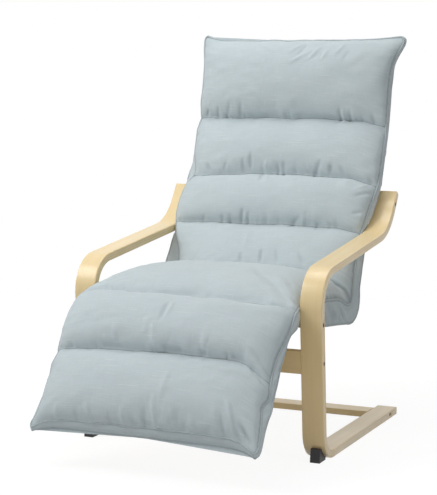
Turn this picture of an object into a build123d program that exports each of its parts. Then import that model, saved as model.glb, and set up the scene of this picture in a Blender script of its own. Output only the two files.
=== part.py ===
from build123d import *
from math import atan2, cos, degrees, hypot, radians, sin, sqrt, tan
import os

os.makedirs("parts", exist_ok=True)

# Lounge armchair: two bent wood side frames, a bent seat and back frame bolted between them,
# a leg rest on friction hinges, and one long channelled cushion in three lengths.
# Millimetres. X runs across the seat, +Y towards the back, Z up. The origin is on the floor,
# under the middle of the whole chair. Side view places are (y, z), measured from the point
# where the side frame's leg line meets the floor, and side_y carries them to the origin.

# Side frame: one strip, bent four times, from the back of its runner to the top of its arm
overall_width = 670.0
band_width = 57.0
band_thickness = 21.0
band_edge = 3.0
runner_length = 604.5
leg_lean = 46.0
arm_front_height = 459.0
arm_length = 540.0
arm_rise = 63.0
arm_end_run = 72.5
arm_end_rise = 104.0
floor_bend = 66.5
arm_front_bend = 85.0
arm_rear_bend = 161.0

# Cross rails between the side frames
leg_rail_height = 57.0
leg_rail_thickness = 20.0
leg_rail_drop = 95.0
floor_rail_depth = 60.0
floor_rail_thickness = 17.0
floor_rail_inset = 64.5
rail_edge = 2.0

# Seat and back frame: a J shaped rail each side, with bent slats across
rail_width = 36.0
rail_thickness = 24.0
spacer_length = 18.0
spacer_diameter = 20.0
seat_bolt_height = 343.0
arm_bolt_rise = 75.0
seat_fall = 5.0
low_back_lean = 34.0
high_back_lean = 11.0
lumbar_rise = 147.0
upper_back_length = 310.0
rail_top_inset = 20.0
seat_bend = 80.0
lumbar_bend = 600.0
rail_front_reach = 26.0
slat_width = 60.0
slat_thickness = 9.0
slat_edge = 2.0
upper_slat_count = 4
back_slat_first = 51.0
lower_slat_count = 2
back_slat_last = 90.0
seat_slat_count = 4
seat_slat_last = 108.0

# Leg rest
pivot_reach = 56.0
leg_drop = 51.0
leg_rail_start = 30.0
leg_rail_end = 326.0
leg_slat_count = 4
leg_slat_first = 62.0
leg_slat_last = 32.0

# Friction hinges
leaf_thickness = 3.0
leaf_width = 22.0
leaf_length = 96.0
washer_thickness = 1.0
washer_diameter = 20.0
pin_diameter = 8.0
pin_head_diameter = 16.0
pin_head_height = 3.0
pin_play = 0.05
nut_height = 6.5
nut_across = 13.0
leaf_screw_shares = (0.42, 0.76, 0.93)

# Bolts, screws, dowels
bolt_diameter = 6.0
bolt_clearance = 0.3
head_diameter = 10.5
head_height = 5.0
head_sink = 0.5
head_clearance = 0.5
socket_across = 4.0
socket_depth = 2.5
frame_bolt_grip = 25.5
rail_bolt_grip = 33.5
insert_diameter = 10.0
insert_length = 20.0
insert_clearance = 0.1
barrel_diameter = 10.0
barrel_length = 14.0
barrel_reach = 26.0
dowel_diameter = 8.0
dowel_length = 30.0
dowel_clearance = 0.1
leg_dowel_spread = 34.0
floor_dowel_spread = 40.0
screw_diameter = 4.0
screw_head_diameter = 8.0
slat_screw_length = 24.0
leaf_screw_length = 16.0
screw_clearance = 0.1
slat_screw_spread = 36.0

# Feet: wedge blocks under the front bends
foot_width = 25.0
foot_front = 16.5
foot_top_front = 13.0
foot_height = 34.0
foot_back = 28.0
foot_offset = 5.5
foot_gap = 0.3
foot_screw_length = 24.0
foot_screw_back = 12.0

# Cushion: a puffed front face, a boxing strip round it, and a flat rear face on the slats
cushion_gap = 0.3
joint_gap = 0.5
cushion_reach = 7.0
arm_side_gap = 2.0
boxing_rise = 7.0
boxing_height = 24.0
boxing_draw = 5.0
rear_margin = 60.0
shoulder_width = 95.0
back_crown = 50.0
leg_crown = 42.0
groove_crown = 6.0
seat_seam_height = 30.0
seat_crown = 68.0
crease_seam_height = 24.0
crease_crown = 84.0
front_seam_height = 36.0
front_crown = 6.0
shoulder_share = 0.32
shoulder_rise_share = 0.62
shoulder_top_share = 0.93
back_panel_shares = (0.0, 0.316, 0.575, 0.765)
panel_place_shares = (0.18, 0.5, 0.82)
panel_crown_shares = (0.8, 1.0, 0.8)
leg_seam_share = 0.44
leg_cushion_overhang = 26.0
nose_turn = 24.0
nose_sweep = 75.0
leg_crown_place_share = 0.5
leg_start_share = 0.12
crease_lift = 1.5
end_rise = 12.0
end_seam_height = 25.0
skirt_thickness = 14.5
skirt_front = 8.0
skirt_overlap = 10.0
skirt_tail = 150.0
skirt_corner_bulge = 6.0

# One overrun carries every cut past the face it leaves by
overrun = 1.0


# Side view geometry

def along(start, heading, distance):
    # The point at a distance from start, where a heading of 0 is +Y and 90 is up
    return (start[0] + distance * cos(radians(heading)), start[1] + distance * sin(radians(heading)))


def crossing(first, first_heading, second, second_heading):
    # The point where two lines in the side view meet
    a = (cos(radians(first_heading)), sin(radians(first_heading)))
    b = (cos(radians(second_heading)), sin(radians(second_heading)))
    reach = ((second[0] - first[0]) * b[1] - (second[1] - first[1]) * b[0]) / (a[0] * b[1] - a[1] * b[0])
    return (first[0] + a[0] * reach, first[1] + a[1] * reach)


band_half = band_thickness / 2
leg_foot = (0.0, band_half)
arm_front = (-leg_lean, arm_front_height)
arm_rear = (arm_length - leg_lean, arm_front_height + arm_rise)
arm_end = (arm_rear[0] + arm_end_run, arm_rear[1] + arm_end_rise)
runner_end = (runner_length, band_half)
leg_heading = degrees(atan2(arm_front[1] - leg_foot[1], arm_front[0] - leg_foot[0]))
arm_end_heading = degrees(atan2(arm_end_rise, arm_end_run))

seat_bolt = along(leg_foot, leg_heading, (seat_bolt_height - band_half) / sin(radians(leg_heading)))
arm_bolt = along(arm_rear, arm_end_heading, arm_bolt_rise / sin(radians(arm_end_heading)))
leg_rail_centre = along(seat_bolt, leg_heading, -leg_rail_drop / sin(radians(leg_heading)))
floor_rail_centre = (runner_length - floor_rail_inset, band_thickness - floor_rail_thickness / 2)

# The seat and back line runs down from the top of the cushion, forward under the seat
high_heading = 270.0 - high_back_lean
low_heading = 270.0 - low_back_lean
seat_heading = 180.0 - seat_fall
rest_heading = 180.0 + leg_drop
seat_corner = crossing(seat_bolt, seat_heading, arm_bolt, low_heading)
lumbar = along(arm_bolt, low_heading, -lumbar_rise / cos(radians(low_back_lean)))
back_top = along(lumbar, high_heading, -upper_back_length)
rail_top = along(back_top, high_heading, rail_top_inset)
rail_front = along(seat_bolt, seat_heading, rail_front_reach)
pivot = along(seat_bolt, seat_heading, pivot_reach)
corner_heading = (low_heading + seat_heading) / 2
corner_half_turn = (low_heading - seat_heading) / 2

# Heights above the middle line of the seat and back rails
rail_half = rail_thickness / 2
slat_top = rail_half + slat_thickness
rest_height = slat_top + cushion_gap
seam_height = boxing_rise + boxing_height

# The chair is centred on the origin from its foremost bulge to the top of its back rails
leg_cushion_end = leg_rail_end + leg_cushion_overhang
bulge_place = leg_cushion_end * (leg_seam_share + (1 - leg_seam_share) * panel_place_shares[2])
bulge_height = rest_height + seam_height + leg_crown * panel_crown_shares[2]
front_bulge = along(along(pivot, rest_heading, bulge_place), rest_heading - 90, bulge_height)
rear_corner = along(rail_top, high_heading - 90, -rail_half)
side_y = -(front_bulge[0] + rear_corner[0]) / 2


def spot(point, x=0.0):
    # A side view point in the chair's own frame
    return (x, point[0] + side_y, point[1])


def side_points(points):
    return [(point[0] + side_y, point[1]) for point in points]


def cross_plane(point, heading):
    # A section plane square to a heading, with +X across and its own y on the sitter's side
    return Plane(origin=spot(point), x_dir=(1, 0, 0), z_dir=(0, cos(radians(heading)), sin(radians(heading))))


def face_plane(point, heading, height, x=0.0):
    # A plane lying on the sitter's side of a line, facing the sitter
    base = along(point, heading - 90, height)
    normal = radians(heading - 90)
    return Plane(origin=spot(base, x), x_dir=(1, 0, 0), z_dir=(0, cos(normal), sin(normal)))


def outward_plane(point, x, side):
    # A plane square to X that faces away from the middle on the side given as 1 or -1
    return Plane(origin=spot(point, x * side), x_dir=(0, 1, 0), z_dir=(side, 0, 0))


# Places across the chair
outer_x = overall_width / 2
inner_x = outer_x - band_width
band_x = outer_x - band_width / 2
rail_outer_x = inner_x - spacer_length
rail_x = rail_outer_x - rail_width / 2
rail_inner_x = rail_outer_x - rail_width
leg_rail_inner_x = rail_inner_x - leaf_thickness - washer_thickness
leg_rail_x = leg_rail_inner_x + rail_width / 2
slat_length = 2 * rail_outer_x
leg_slat_length = 2 * (leg_rail_inner_x + rail_width)
wide_half_width = inner_x + cushion_reach
arm_gap_half_width = inner_x - arm_side_gap
head_seat_x = outer_x - head_height - head_sink
frame_bolt_length = head_seat_x - rail_outer_x + frame_bolt_grip
rail_bolt_length = head_seat_x - inner_x + rail_bolt_grip

bolt_hole = bolt_diameter + bolt_clearance
sides = {"left": -1, "right": 1}

# The seat and back line, on the middle plane, gives slats and cushion lengths their places
with BuildLine(Plane.YZ):
    seat_line = FilletPolyline(
        *side_points([back_top, lumbar, seat_corner, pivot]),
        radius=[lumbar_bend, seat_bend],
    )
seat_length = hypot(pivot[0] - seat_corner[0], pivot[1] - seat_corner[1])
corner_reach = seat_bend * tan(radians(corner_half_turn))
corner_arc = 2 * seat_bend * radians(corner_half_turn)
back_length = seat_line.length - (seat_length - corner_reach) - corner_arc


def line_place(distance):
    # Side view point and heading at a distance down the seat and back line
    point = seat_line.position_at(distance, position_mode=PositionMode.LENGTH)
    way = seat_line.tangent_at(distance, position_mode=PositionMode.LENGTH)
    return (point.Y - side_y, point.Z), degrees(atan2(way.Z, way.Y)) % 360


# A flat slat in the lumbar bend rests on its two long edges, so its middle stands clear
bend_face = lumbar_bend - rail_half
lumbar_lift = bend_face - sqrt(bend_face ** 2 - (slat_width / 2) ** 2)
slat_edge_step = slat_width / 2 * lumbar_bend / bend_face


def face_height(distance, point, heading):
    # How high the rail's front face is, at a distance down the line, above a line through point
    place, place_heading = line_place(distance)
    face = along(place, place_heading - 90, rail_half)
    normal = radians(heading - 90)
    return (face[0] - point[0]) * cos(normal) + (face[1] - point[1]) * sin(normal)


def slat_frame(distance):
    point, heading = line_place(distance)
    edges = (distance - slat_edge_step, distance, distance + slat_edge_step)
    return point, heading, max(face_height(edge, point, heading) for edge in edges)


# One back slat lies over the arm bolt and one seat slat over the seat bolt, so that their
# screws pass each side of it. The rest are spaced evenly from there
bolt_slat = back_length + corner_reach - hypot(arm_bolt[0] - seat_corner[0], arm_bolt[1] - seat_corner[1])
upper_slat_pitch = (bolt_slat - back_slat_first) / upper_slat_count
lower_slat_pitch = (back_length - back_slat_last - bolt_slat) / lower_slat_count
seat_slat_pitch = (seat_length - pivot_reach - seat_slat_last) / (seat_slat_count - 1)
leg_slat_pitch = (leg_rail_end - leg_slat_last - leg_slat_first) / (leg_slat_count - 1)
back_slats = [
    slat_frame(back_slat_first + upper_slat_pitch * index) for index in range(upper_slat_count)
] + [
    slat_frame(bolt_slat + lower_slat_pitch * index) for index in range(lower_slat_count + 1)
]
seat_slats = [
    (along(seat_bolt, seat_heading + 180, seat_slat_pitch * index), seat_heading, rail_half)
    for index in range(seat_slat_count)
]
leg_slats = [
    (along(pivot, rest_heading, leg_slat_first + leg_slat_pitch * index), rest_heading, rail_half)
    for index in range(leg_slat_count)
]


def slat_screw_planes(slat, rail_middle_x):
    # Planes on a slat's face, where its four screws go into the two rails
    point, heading, height = slat
    return [
        face_plane(along(point, heading, step * slat_screw_spread / 2), heading, height + slat_thickness, x)
        for x in (-rail_middle_x, rail_middle_x)
        for step in (-1, 1)
    ]


def leaf_screw_planes(heading, face_x, side):
    # Planes on a hinge leaf's inner face, facing the middle of the chair
    return [
        Plane(origin=spot(along(pivot, heading, leaf_length * share), face_x * side), z_dir=(-side, 0, 0))
        for share in leaf_screw_shares
    ]


def countersunk_screw(plane, length):
    # A wood screw with its head flush in the plane, pointing into it
    head_rise = (screw_head_diameter - screw_diameter) / 2
    with Locations(plane.location * Location((0, 0, -head_rise / 2))):
        Cone(screw_diameter / 2, screw_head_diameter / 2, head_rise)
    with Locations(plane.location * Location((0, 0, -(head_rise + length) / 2))):
        Cylinder(screw_diameter / 2, length - head_rise)


def screw_hole(plane, depth):
    with Locations(plane):
        CounterSinkHole(
            screw_diameter / 2 + screw_clearance,
            screw_head_diameter / 2 + screw_clearance,
            depth=depth,
            counter_sink_angle=90,
        )


def pilot_hole(plane, length):
    # The hole in the rail behind a slat or leaf, cut from the face that the screw enters
    with Locations(plane.location * Location((0, 0, -(length + overrun) / 2))):
        Cylinder(screw_diameter / 2 + screw_clearance, length + overrun, mode=Mode.SUBTRACT)


def cap_bolt(plane, length):
    # A socket head bolt whose head rests on the plane and whose shank goes back into it
    with Locations(plane.location * Location((0, 0, head_height / 2))):
        Cylinder(head_diameter / 2, head_height)
    with Locations(plane.location * Location((0, 0, -length / 2))):
        Cylinder(bolt_diameter / 2, length)
    with BuildSketch(plane.offset(head_height)) as socket:
        RegularPolygon(socket_across / 2, 6, major_radius=False)
    extrude(socket.sketch, amount=-socket_depth, mode=Mode.SUBTRACT)


def bolt_bore(plane, depth):
    # A bolt's hole, with the counterbore that takes its head below the surface
    with Locations(plane):
        CounterBoreHole(bolt_hole / 2, head_diameter / 2 + head_clearance, head_height + head_sink, depth=depth)


def bolt_planes(points, side):
    return [outward_plane(point, outer_x, side) for point in points]


def dowel_points(centre, heading, spread):
    return [along(centre, heading, step * spread / 2) for step in (-1, 1)]


leg_dowels = dowel_points(leg_rail_centre, leg_heading, leg_dowel_spread)
frame_bolts_at = [seat_bolt, arm_bolt]
rail_bolts_at = [leg_rail_centre, floor_rail_centre]
floor_dowels = dowel_points(floor_rail_centre, 0.0, floor_dowel_spread)


# Side frames

def side_frame(side):
    with BuildPart() as frame:
        with BuildLine(Plane.YZ.offset(band_x * side)):
            strip = FilletPolyline(
                *side_points([runner_end, leg_foot, arm_front, arm_rear, arm_end]),
                radius=[floor_bend, arm_front_bend, arm_rear_bend],
            )
        with BuildSketch(Plane(origin=strip @ 0, x_dir=(1, 0, 0), z_dir=strip % 0)):
            RectangleRounded(band_width, band_thickness, band_edge)
        sweep(path=strip)
        for plane in bolt_planes(frame_bolts_at + rail_bolts_at, side):
            bolt_bore(plane, band_width + overrun)
        for point in leg_dowels + floor_dowels:
            with Locations(Location(spot(point, inner_x * side), (0, 90, 0))):
                Cylinder(
                    dowel_diameter / 2 + dowel_clearance,
                    dowel_length + overrun,
                    mode=Mode.SUBTRACT,
                )
        with Locations(spot((foot_screw_back, 0), (band_x + foot_offset) * side)):
            Cylinder(
                screw_diameter / 2 + screw_clearance,
                2 * (foot_screw_length + foot_gap + overrun),
                mode=Mode.SUBTRACT,
            )
    return frame.part


for name, side in sides.items():
    piece = side_frame(side)
    piece.label = f"side_frame_{name}"
    export_step(piece, f"parts/side_frame_{name}.step")


# Front leg rail and rear floor rail, each with a bolt and two dowels at both ends

def cross_rail(centre, heading, height, thickness, dowels):
    # height runs along the heading, thickness across it
    with BuildPart() as rail:
        with BuildSketch(Plane.YZ.offset(-inner_x)):
            with Locations(Location((centre[0] + side_y, centre[1]), heading)):
                RectangleRounded(height, thickness, rail_edge)
        extrude(amount=2 * inner_x)
        for side in sides.values():
            face = outward_plane(centre, inner_x, side)
            with Locations(face):
                Hole(bolt_hole / 2, depth=rail_bolt_grip + overrun)
            nut_x = (inner_x - barrel_reach) * side
            with BuildSketch(face_plane(centre, heading, 0.0, nut_x)):
                Circle(barrel_diameter / 2 + insert_clearance)
            extrude(amount=barrel_length / 2 + overrun, both=True, mode=Mode.SUBTRACT)
            for point in dowels:
                with Locations(outward_plane(point, inner_x, side)):
                    Hole(dowel_diameter / 2 + dowel_clearance, depth=dowel_length / 2 + overrun)
    return rail.part


leg_rail = cross_rail(leg_rail_centre, leg_heading, leg_rail_height, leg_rail_thickness, leg_dowels)
leg_rail.label = "front_leg_rail"
export_step(leg_rail, "parts/front_leg_rail.step")

floor_rail = cross_rail(floor_rail_centre, 0.0, floor_rail_depth, floor_rail_thickness, floor_dowels)
floor_rail.label = "rear_floor_rail"
export_step(floor_rail, "parts/rear_floor_rail.step")


# Seat and back rails

def seat_back_rail(side):
    with BuildPart() as rail:
        with BuildLine(Plane.YZ.offset(rail_x * side)):
            bend = FilletPolyline(
                *side_points([rail_top, lumbar, seat_corner, rail_front]),
                radius=[lumbar_bend, seat_bend],
            )
        with BuildSketch(Plane(origin=bend @ 0, x_dir=(1, 0, 0), z_dir=bend % 0)):
            RectangleRounded(rail_width, rail_thickness, rail_edge)
        sweep(path=bend)
        for point in frame_bolts_at:
            with Locations(outward_plane(point, rail_outer_x, side)):
                CounterBoreHole(
                    bolt_hole / 2,
                    insert_diameter / 2 + insert_clearance,
                    insert_length,
                    depth=rail_width - overrun,
                )
        for slat in back_slats + seat_slats:
            for plane in slat_screw_planes(slat, rail_x):
                pilot_hole(plane, slat_screw_length)
        for plane in leaf_screw_planes(seat_heading + 180, rail_inner_x - leaf_thickness, side):
            pilot_hole(plane, leaf_screw_length)
    return rail.part


for name, side in sides.items():
    piece = seat_back_rail(side)
    piece.label = f"seat_back_rail_{name}"
    export_step(piece, f"parts/seat_back_rail_{name}.step")


# Slats

def cross_slat(slat, length, rail_middle_x):
    point, heading, height = slat
    with BuildPart() as piece:
        with BuildSketch(face_plane(point, heading, height)):
            RectangleRounded(length, slat_width, slat_edge)
        extrude(amount=slat_thickness)
        for plane in slat_screw_planes(slat, rail_middle_x):
            screw_hole(plane, slat_thickness + overrun)
    return piece.part


slat_rows = {
    "back_slat": (back_slats, slat_length, rail_x),
    "seat_slat": (seat_slats, slat_length, rail_x),
    "leg_rest_slat": (leg_slats, leg_slat_length, leg_rail_x),
}
for row, (slats, length, rail_middle_x) in slat_rows.items():
    for index, slat in enumerate(slats, start=1):
        piece = cross_slat(slat, length, rail_middle_x)
        piece.label = f"{row}_{index}"
        export_step(piece, f"parts/{row}_{index}.step")


# Leg rest rails

def leg_rest_rail(side):
    with BuildPart() as rail:
        with BuildSketch(cross_plane(along(pivot, rest_heading, leg_rail_start), rest_heading)):
            with Locations((leg_rail_x * side, 0)):
                RectangleRounded(rail_width, rail_thickness, rail_edge)
        extrude(amount=leg_rail_end - leg_rail_start)
        for slat in leg_slats:
            for plane in slat_screw_planes(slat, leg_rail_x):
                pilot_hole(plane, slat_screw_length)
        for plane in leaf_screw_planes(rest_heading, leg_rail_inner_x - leaf_thickness, side):
            pilot_hole(plane, leaf_screw_length)
    return rail.part


for name, side in sides.items():
    piece = leg_rest_rail(side)
    piece.label = f"leg_rest_rail_{name}"
    export_step(piece, f"parts/leg_rest_rail_{name}.step")


# Friction hinges: a leaf on each rail, a friction washer between, a headed pin and a lock nut

seat_leaf_x = rail_inner_x - leaf_thickness
leg_leaf_x = leg_rail_inner_x - leaf_thickness
nut_washer_x = leg_leaf_x - washer_thickness


def hinge_leaf(heading, face_x, side, hole_radius):
    # A plate with round ends, from the pivot back along its rail
    middle = along(pivot, heading, leaf_length / 2)
    with BuildPart() as leaf:
        with BuildSketch(Plane.YZ.offset(face_x * side)):
            with Locations(Location((middle[0] + side_y, middle[1]), heading)):
                SlotCenterToCenter(leaf_length, leaf_width)
            with Locations(side_points([pivot])[0]):
                Circle(hole_radius, mode=Mode.SUBTRACT)
        extrude(amount=leaf_thickness * side)
        for plane in leaf_screw_planes(heading, face_x, side):
            screw_hole(plane, leaf_thickness + overrun)
    return leaf.part


def pivot_disc(face_x, side, thickness, radius, hole_radius):
    with BuildPart() as disc:
        with BuildSketch(Plane.YZ.offset(face_x * side)):
            with Locations(side_points([pivot])[0]):
                Circle(radius)
                Circle(hole_radius, mode=Mode.SUBTRACT)
        extrude(amount=thickness * side)
    return disc.part


for name, side in sides.items():
    piece = hinge_leaf(seat_heading + 180, seat_leaf_x, side, pin_diameter / 2 + pin_play)
    piece.label = f"hinge_seat_leaf_{name}"
    export_step(piece, f"parts/hinge_seat_leaf_{name}.step")
    piece = hinge_leaf(rest_heading, leg_leaf_x, side, pin_diameter / 2 + pin_play)
    piece.label = f"hinge_rest_leaf_{name}"
    export_step(piece, f"parts/hinge_rest_leaf_{name}.step")
    piece = pivot_disc(leg_rail_inner_x, side, washer_thickness, washer_diameter / 2, pin_diameter / 2 + pin_play)
    piece.label = f"friction_washer_{name}"
    export_step(piece, f"parts/friction_washer_{name}.step")

with BuildPart() as hinge_pins:
    for side in sides.values():
        with BuildSketch(Plane.YZ.offset(rail_inner_x * side)):
            with Locations(side_points([pivot])[0]):
                Circle(pin_head_diameter / 2)
        extrude(amount=pin_head_height * side)
        with BuildSketch(Plane.YZ.offset(rail_inner_x * side)):
            with Locations(side_points([pivot])[0]):
                Circle(pin_diameter / 2)
        extrude(amount=-(rail_inner_x - nut_washer_x + nut_height + overrun) * side)
hinge_pins.part.label = "hinge_pins"
export_step(hinge_pins.part, "parts/hinge_pins.step")

with BuildPart() as hinge_nuts:
    for side in sides.values():
        with BuildSketch(Plane.YZ.offset(nut_washer_x * side)):
            with Locations(side_points([pivot])[0]):
                RegularPolygon(nut_across / 2, 6, major_radius=False)
                Circle(pin_diameter / 2 + pin_play, mode=Mode.SUBTRACT)
        extrude(amount=-nut_height * side)
hinge_nuts.part.label = "hinge_nuts"
export_step(hinge_nuts.part, "parts/hinge_nuts.step")

with BuildPart() as nut_washers:
    for side in sides.values():
        with BuildSketch(Plane.YZ.offset(nut_washer_x * side)):
            with Locations(side_points([pivot])[0]):
                Circle(washer_diameter / 2)
                Circle(pin_diameter / 2 + pin_play, mode=Mode.SUBTRACT)
        extrude(amount=washer_thickness * side)
nut_washers.part.label = "nut_washers"
export_step(nut_washers.part, "parts/nut_washers.step")


# Bolts, spacers, inserts, barrel nuts and dowels

with BuildPart() as frame_bolts:
    for side in sides.values():
        for point in frame_bolts_at:
            cap_bolt(outward_plane(point, head_seat_x, side), frame_bolt_length)
frame_bolts.part.label = "frame_bolts"
export_step(frame_bolts.part, "parts/frame_bolts.step")

with BuildPart() as rail_bolts:
    for side in sides.values():
        for point in rail_bolts_at:
            cap_bolt(outward_plane(point, head_seat_x, side), rail_bolt_length)
rail_bolts.part.label = "rail_bolts"
export_step(rail_bolts.part, "parts/rail_bolts.step")

with BuildPart() as spacers:
    for side in sides.values():
        for point in frame_bolts_at:
            with BuildSketch(outward_plane(point, rail_outer_x, side)):
                Circle(spacer_diameter / 2)
                Circle(bolt_hole / 2, mode=Mode.SUBTRACT)
            extrude(amount=spacer_length)
spacers.part.label = "frame_spacers"
export_step(spacers.part, "parts/frame_spacers.step")

with BuildPart() as inserts:
    for side in sides.values():
        for point in frame_bolts_at:
            with BuildSketch(outward_plane(point, rail_outer_x, side)):
                Circle(insert_diameter / 2)
                Circle(bolt_diameter / 2 + insert_clearance, mode=Mode.SUBTRACT)
            extrude(amount=-insert_length + overrun)
inserts.part.label = "rail_inserts"
export_step(inserts.part, "parts/rail_inserts.step")

with BuildPart() as barrel_nuts:
    for centre, heading in ((leg_rail_centre, leg_heading), (floor_rail_centre, 0.0)):
        for side in sides.values():
            nut_x = (inner_x - barrel_reach) * side
            with BuildSketch(face_plane(centre, heading, 0.0, nut_x)):
                Circle(barrel_diameter / 2)
            extrude(amount=barrel_length / 2, both=True)
            with Locations(outward_plane(centre, inner_x - barrel_reach, side)):
                Cylinder(bolt_diameter / 2 + insert_clearance, 2 * barrel_diameter, mode=Mode.SUBTRACT)
barrel_nuts.part.label = "barrel_nuts"
export_step(barrel_nuts.part, "parts/barrel_nuts.step")

with BuildPart() as dowels:
    for side in sides.values():
        for point in leg_dowels + floor_dowels:
            with Locations(Location(spot(point, inner_x * side), (0, 90, 0))):
                Cylinder(dowel_diameter / 2, dowel_length)
dowels.part.label = "rail_dowels"
export_step(dowels.part, "parts/rail_dowels.step")

with BuildPart() as slat_screws:
    for slat in back_slats + seat_slats:
        for plane in slat_screw_planes(slat, rail_x):
            countersunk_screw(plane, slat_screw_length)
slat_screws.part.label = "slat_screws"
export_step(slat_screws.part, "parts/slat_screws.step")

with BuildPart() as rest_slat_screws:
    for slat in leg_slats:
        for plane in slat_screw_planes(slat, leg_rail_x):
            countersunk_screw(plane, slat_screw_length)
rest_slat_screws.part.label = "leg_rest_slat_screws"
export_step(rest_slat_screws.part, "parts/leg_rest_slat_screws.step")

with BuildPart() as seat_leaf_screws:
    for side in sides.values():
        for plane in leaf_screw_planes(seat_heading + 180, seat_leaf_x, side):
            countersunk_screw(plane, leaf_screw_length)
seat_leaf_screws.part.label = "seat_leaf_screws"
export_step(seat_leaf_screws.part, "parts/seat_leaf_screws.step")

with BuildPart() as rest_leaf_screws:
    for side in sides.values():
        for plane in leaf_screw_planes(rest_heading, leg_leaf_x, side):
            countersunk_screw(plane, leaf_screw_length)
rest_leaf_screws.part.label = "rest_leaf_screws"
export_step(rest_leaf_screws.part, "parts/rest_leaf_screws.step")


# Feet: wedges that fill the front bend down to the floor, each with a screw from below

bend_centre = (floor_bend * tan(radians(180.0 - leg_heading) / 2), band_half + floor_bend)
bend_outer = floor_bend + band_half + foot_gap


def foot_block(side):
    foot_x = (band_x + foot_offset) * side
    with BuildPart() as foot:
        with BuildSketch(Plane.YZ.offset(foot_x - foot_width / 2)):
            with BuildLine():
                Polyline(
                    *side_points([
                        (-foot_front, 0),
                        (foot_back, 0),
                        (foot_back, foot_height),
                        (-foot_top_front, foot_height),
                    ]),
                    close=True,
                )
            make_face()
            with Locations(side_points([bend_centre])[0]):
                Circle(bend_outer, mode=Mode.SUBTRACT)
        extrude(amount=foot_width)
        with Locations(Plane(origin=spot((foot_screw_back, 0), foot_x), z_dir=(0, 0, -1))):
            CounterSinkHole(
                screw_diameter / 2 + screw_clearance,
                screw_head_diameter / 2 + screw_clearance,
                depth=foot_height,
                counter_sink_angle=90,
            )
    return foot.part


for name, side in sides.items():
    piece = foot_block(side)
    piece.label = f"foot_{name}"
    export_step(piece, f"parts/foot_{name}.step")

with BuildPart() as foot_screws:
    for side in sides.values():
        base = spot((foot_screw_back, 0), (band_x + foot_offset) * side)
        countersunk_screw(Plane(origin=base, z_dir=(0, 0, -1)), foot_screw_length)
foot_screws.part.label = "foot_screws"
export_step(foot_screws.part, "parts/foot_screws.step")


# Cushion

def cushion_section(plane, half_width, rise, seam, crown, lift=0.0, draw=boxing_draw):
    # Outline of the cushion where it is cut across: flat on the slats, rising to the rear
    # seam at each side, drawn in along the boxing, and crowned between the front seams
    flat = half_width - rear_margin
    rest = rest_height + lift
    low = rest + rise
    high = rest + seam
    inset = half_width - shoulder_width
    with BuildSketch(plane) as outline:
        with BuildLine():
            Line((-flat, rest), (flat, rest))
            Line((flat, rest), (half_width, low))
            ThreePointArc((half_width, low), (half_width - draw, (low + high) / 2), (half_width, high))
            ThreePointArc(
                (half_width, high),
                (half_width - shoulder_width * shoulder_share, high + crown * shoulder_rise_share),
                (inset, high + crown * shoulder_top_share),
            )
            ThreePointArc(
                (inset, high + crown * shoulder_top_share),
                (0, high + crown),
                (-inset, high + crown * shoulder_top_share),
            )
            ThreePointArc(
                (-inset, high + crown * shoulder_top_share),
                (-half_width + shoulder_width * shoulder_share, high + crown * shoulder_rise_share),
                (-half_width, high),
            )
            ThreePointArc((-half_width, high), (-half_width + draw, (low + high) / 2), (-half_width, low))
            Line((-half_width, low), (-flat, rest))
        make_face()
    return outline.sketch


def blend_values(first, last, share):
    return tuple(a + (b - a) * share for a, b in zip(first, last))


def panel_sections(start, end, crown, frame_at, lift=0.0):
    # One sewn panel: start and end are (place, half width, rise, seam, crown) at its two
    # seams, and it puffs up to the crown between them
    rows = [start]
    for share, crown_share in zip(panel_place_shares, panel_crown_shares):
        place, half_width, rise, seam = blend_values(start[:4], end[:4], share)
        rows.append((place, half_width, rise, seam, crown * crown_share))
    rows.append(end)
    return [cushion_section(frame_at(row[0]), *row[1:], lift) for row in rows]


def back_plane(distance):
    point, heading = line_place(distance)
    return cross_plane(point, heading)


def seat_plane(distance):
    # Distance forward from the corner between seat and back
    return cross_plane(along(seat_corner, seat_heading, distance), seat_heading)


def rest_plane(distance):
    return cross_plane(along(pivot, rest_heading, distance), rest_heading)


# Back: four panels, and the crease where it meets the seat
back_seams = [back_length * share for share in back_panel_shares]
back_rows = [
    (back_seams[0], wide_half_width, boxing_rise, end_seam_height, groove_crown),
    (back_seams[1], wide_half_width, boxing_rise, seam_height, groove_crown),
    (back_seams[2], wide_half_width, boxing_rise, seam_height, groove_crown),
    (back_seams[3], arm_gap_half_width, boxing_rise, seam_height, groove_crown),
]
crease_point = along(
    seat_corner,
    corner_heading - 90,
    (rest_height + crease_lift) / cos(radians(corner_half_turn)) - rest_height,
)
crease = cushion_section(
    cross_plane(crease_point, corner_heading),
    arm_gap_half_width,
    cushion_gap,
    crease_seam_height,
    crease_crown,
)
low_panel_middle = back_seams[3] + (back_length - back_seams[3]) * panel_place_shares[1]

with BuildPart() as back_cushion:
    for first, last in zip(back_rows, back_rows[1:]):
        loft(sections=panel_sections(first, last, back_crown, back_plane, lumbar_lift), clean=False)
    loft(
        sections=[
            cushion_section(back_plane(back_seams[3]), *back_rows[3][1:], lumbar_lift),
            cushion_section(
                back_plane(low_panel_middle), arm_gap_half_width, boxing_rise, seam_height, back_crown, lumbar_lift
            ),
            crease,
        ],
        clean=False,
    )
back_cushion.part.label = "back_cushion"
export_step(back_cushion.part, "parts/back_cushion.step")

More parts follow.
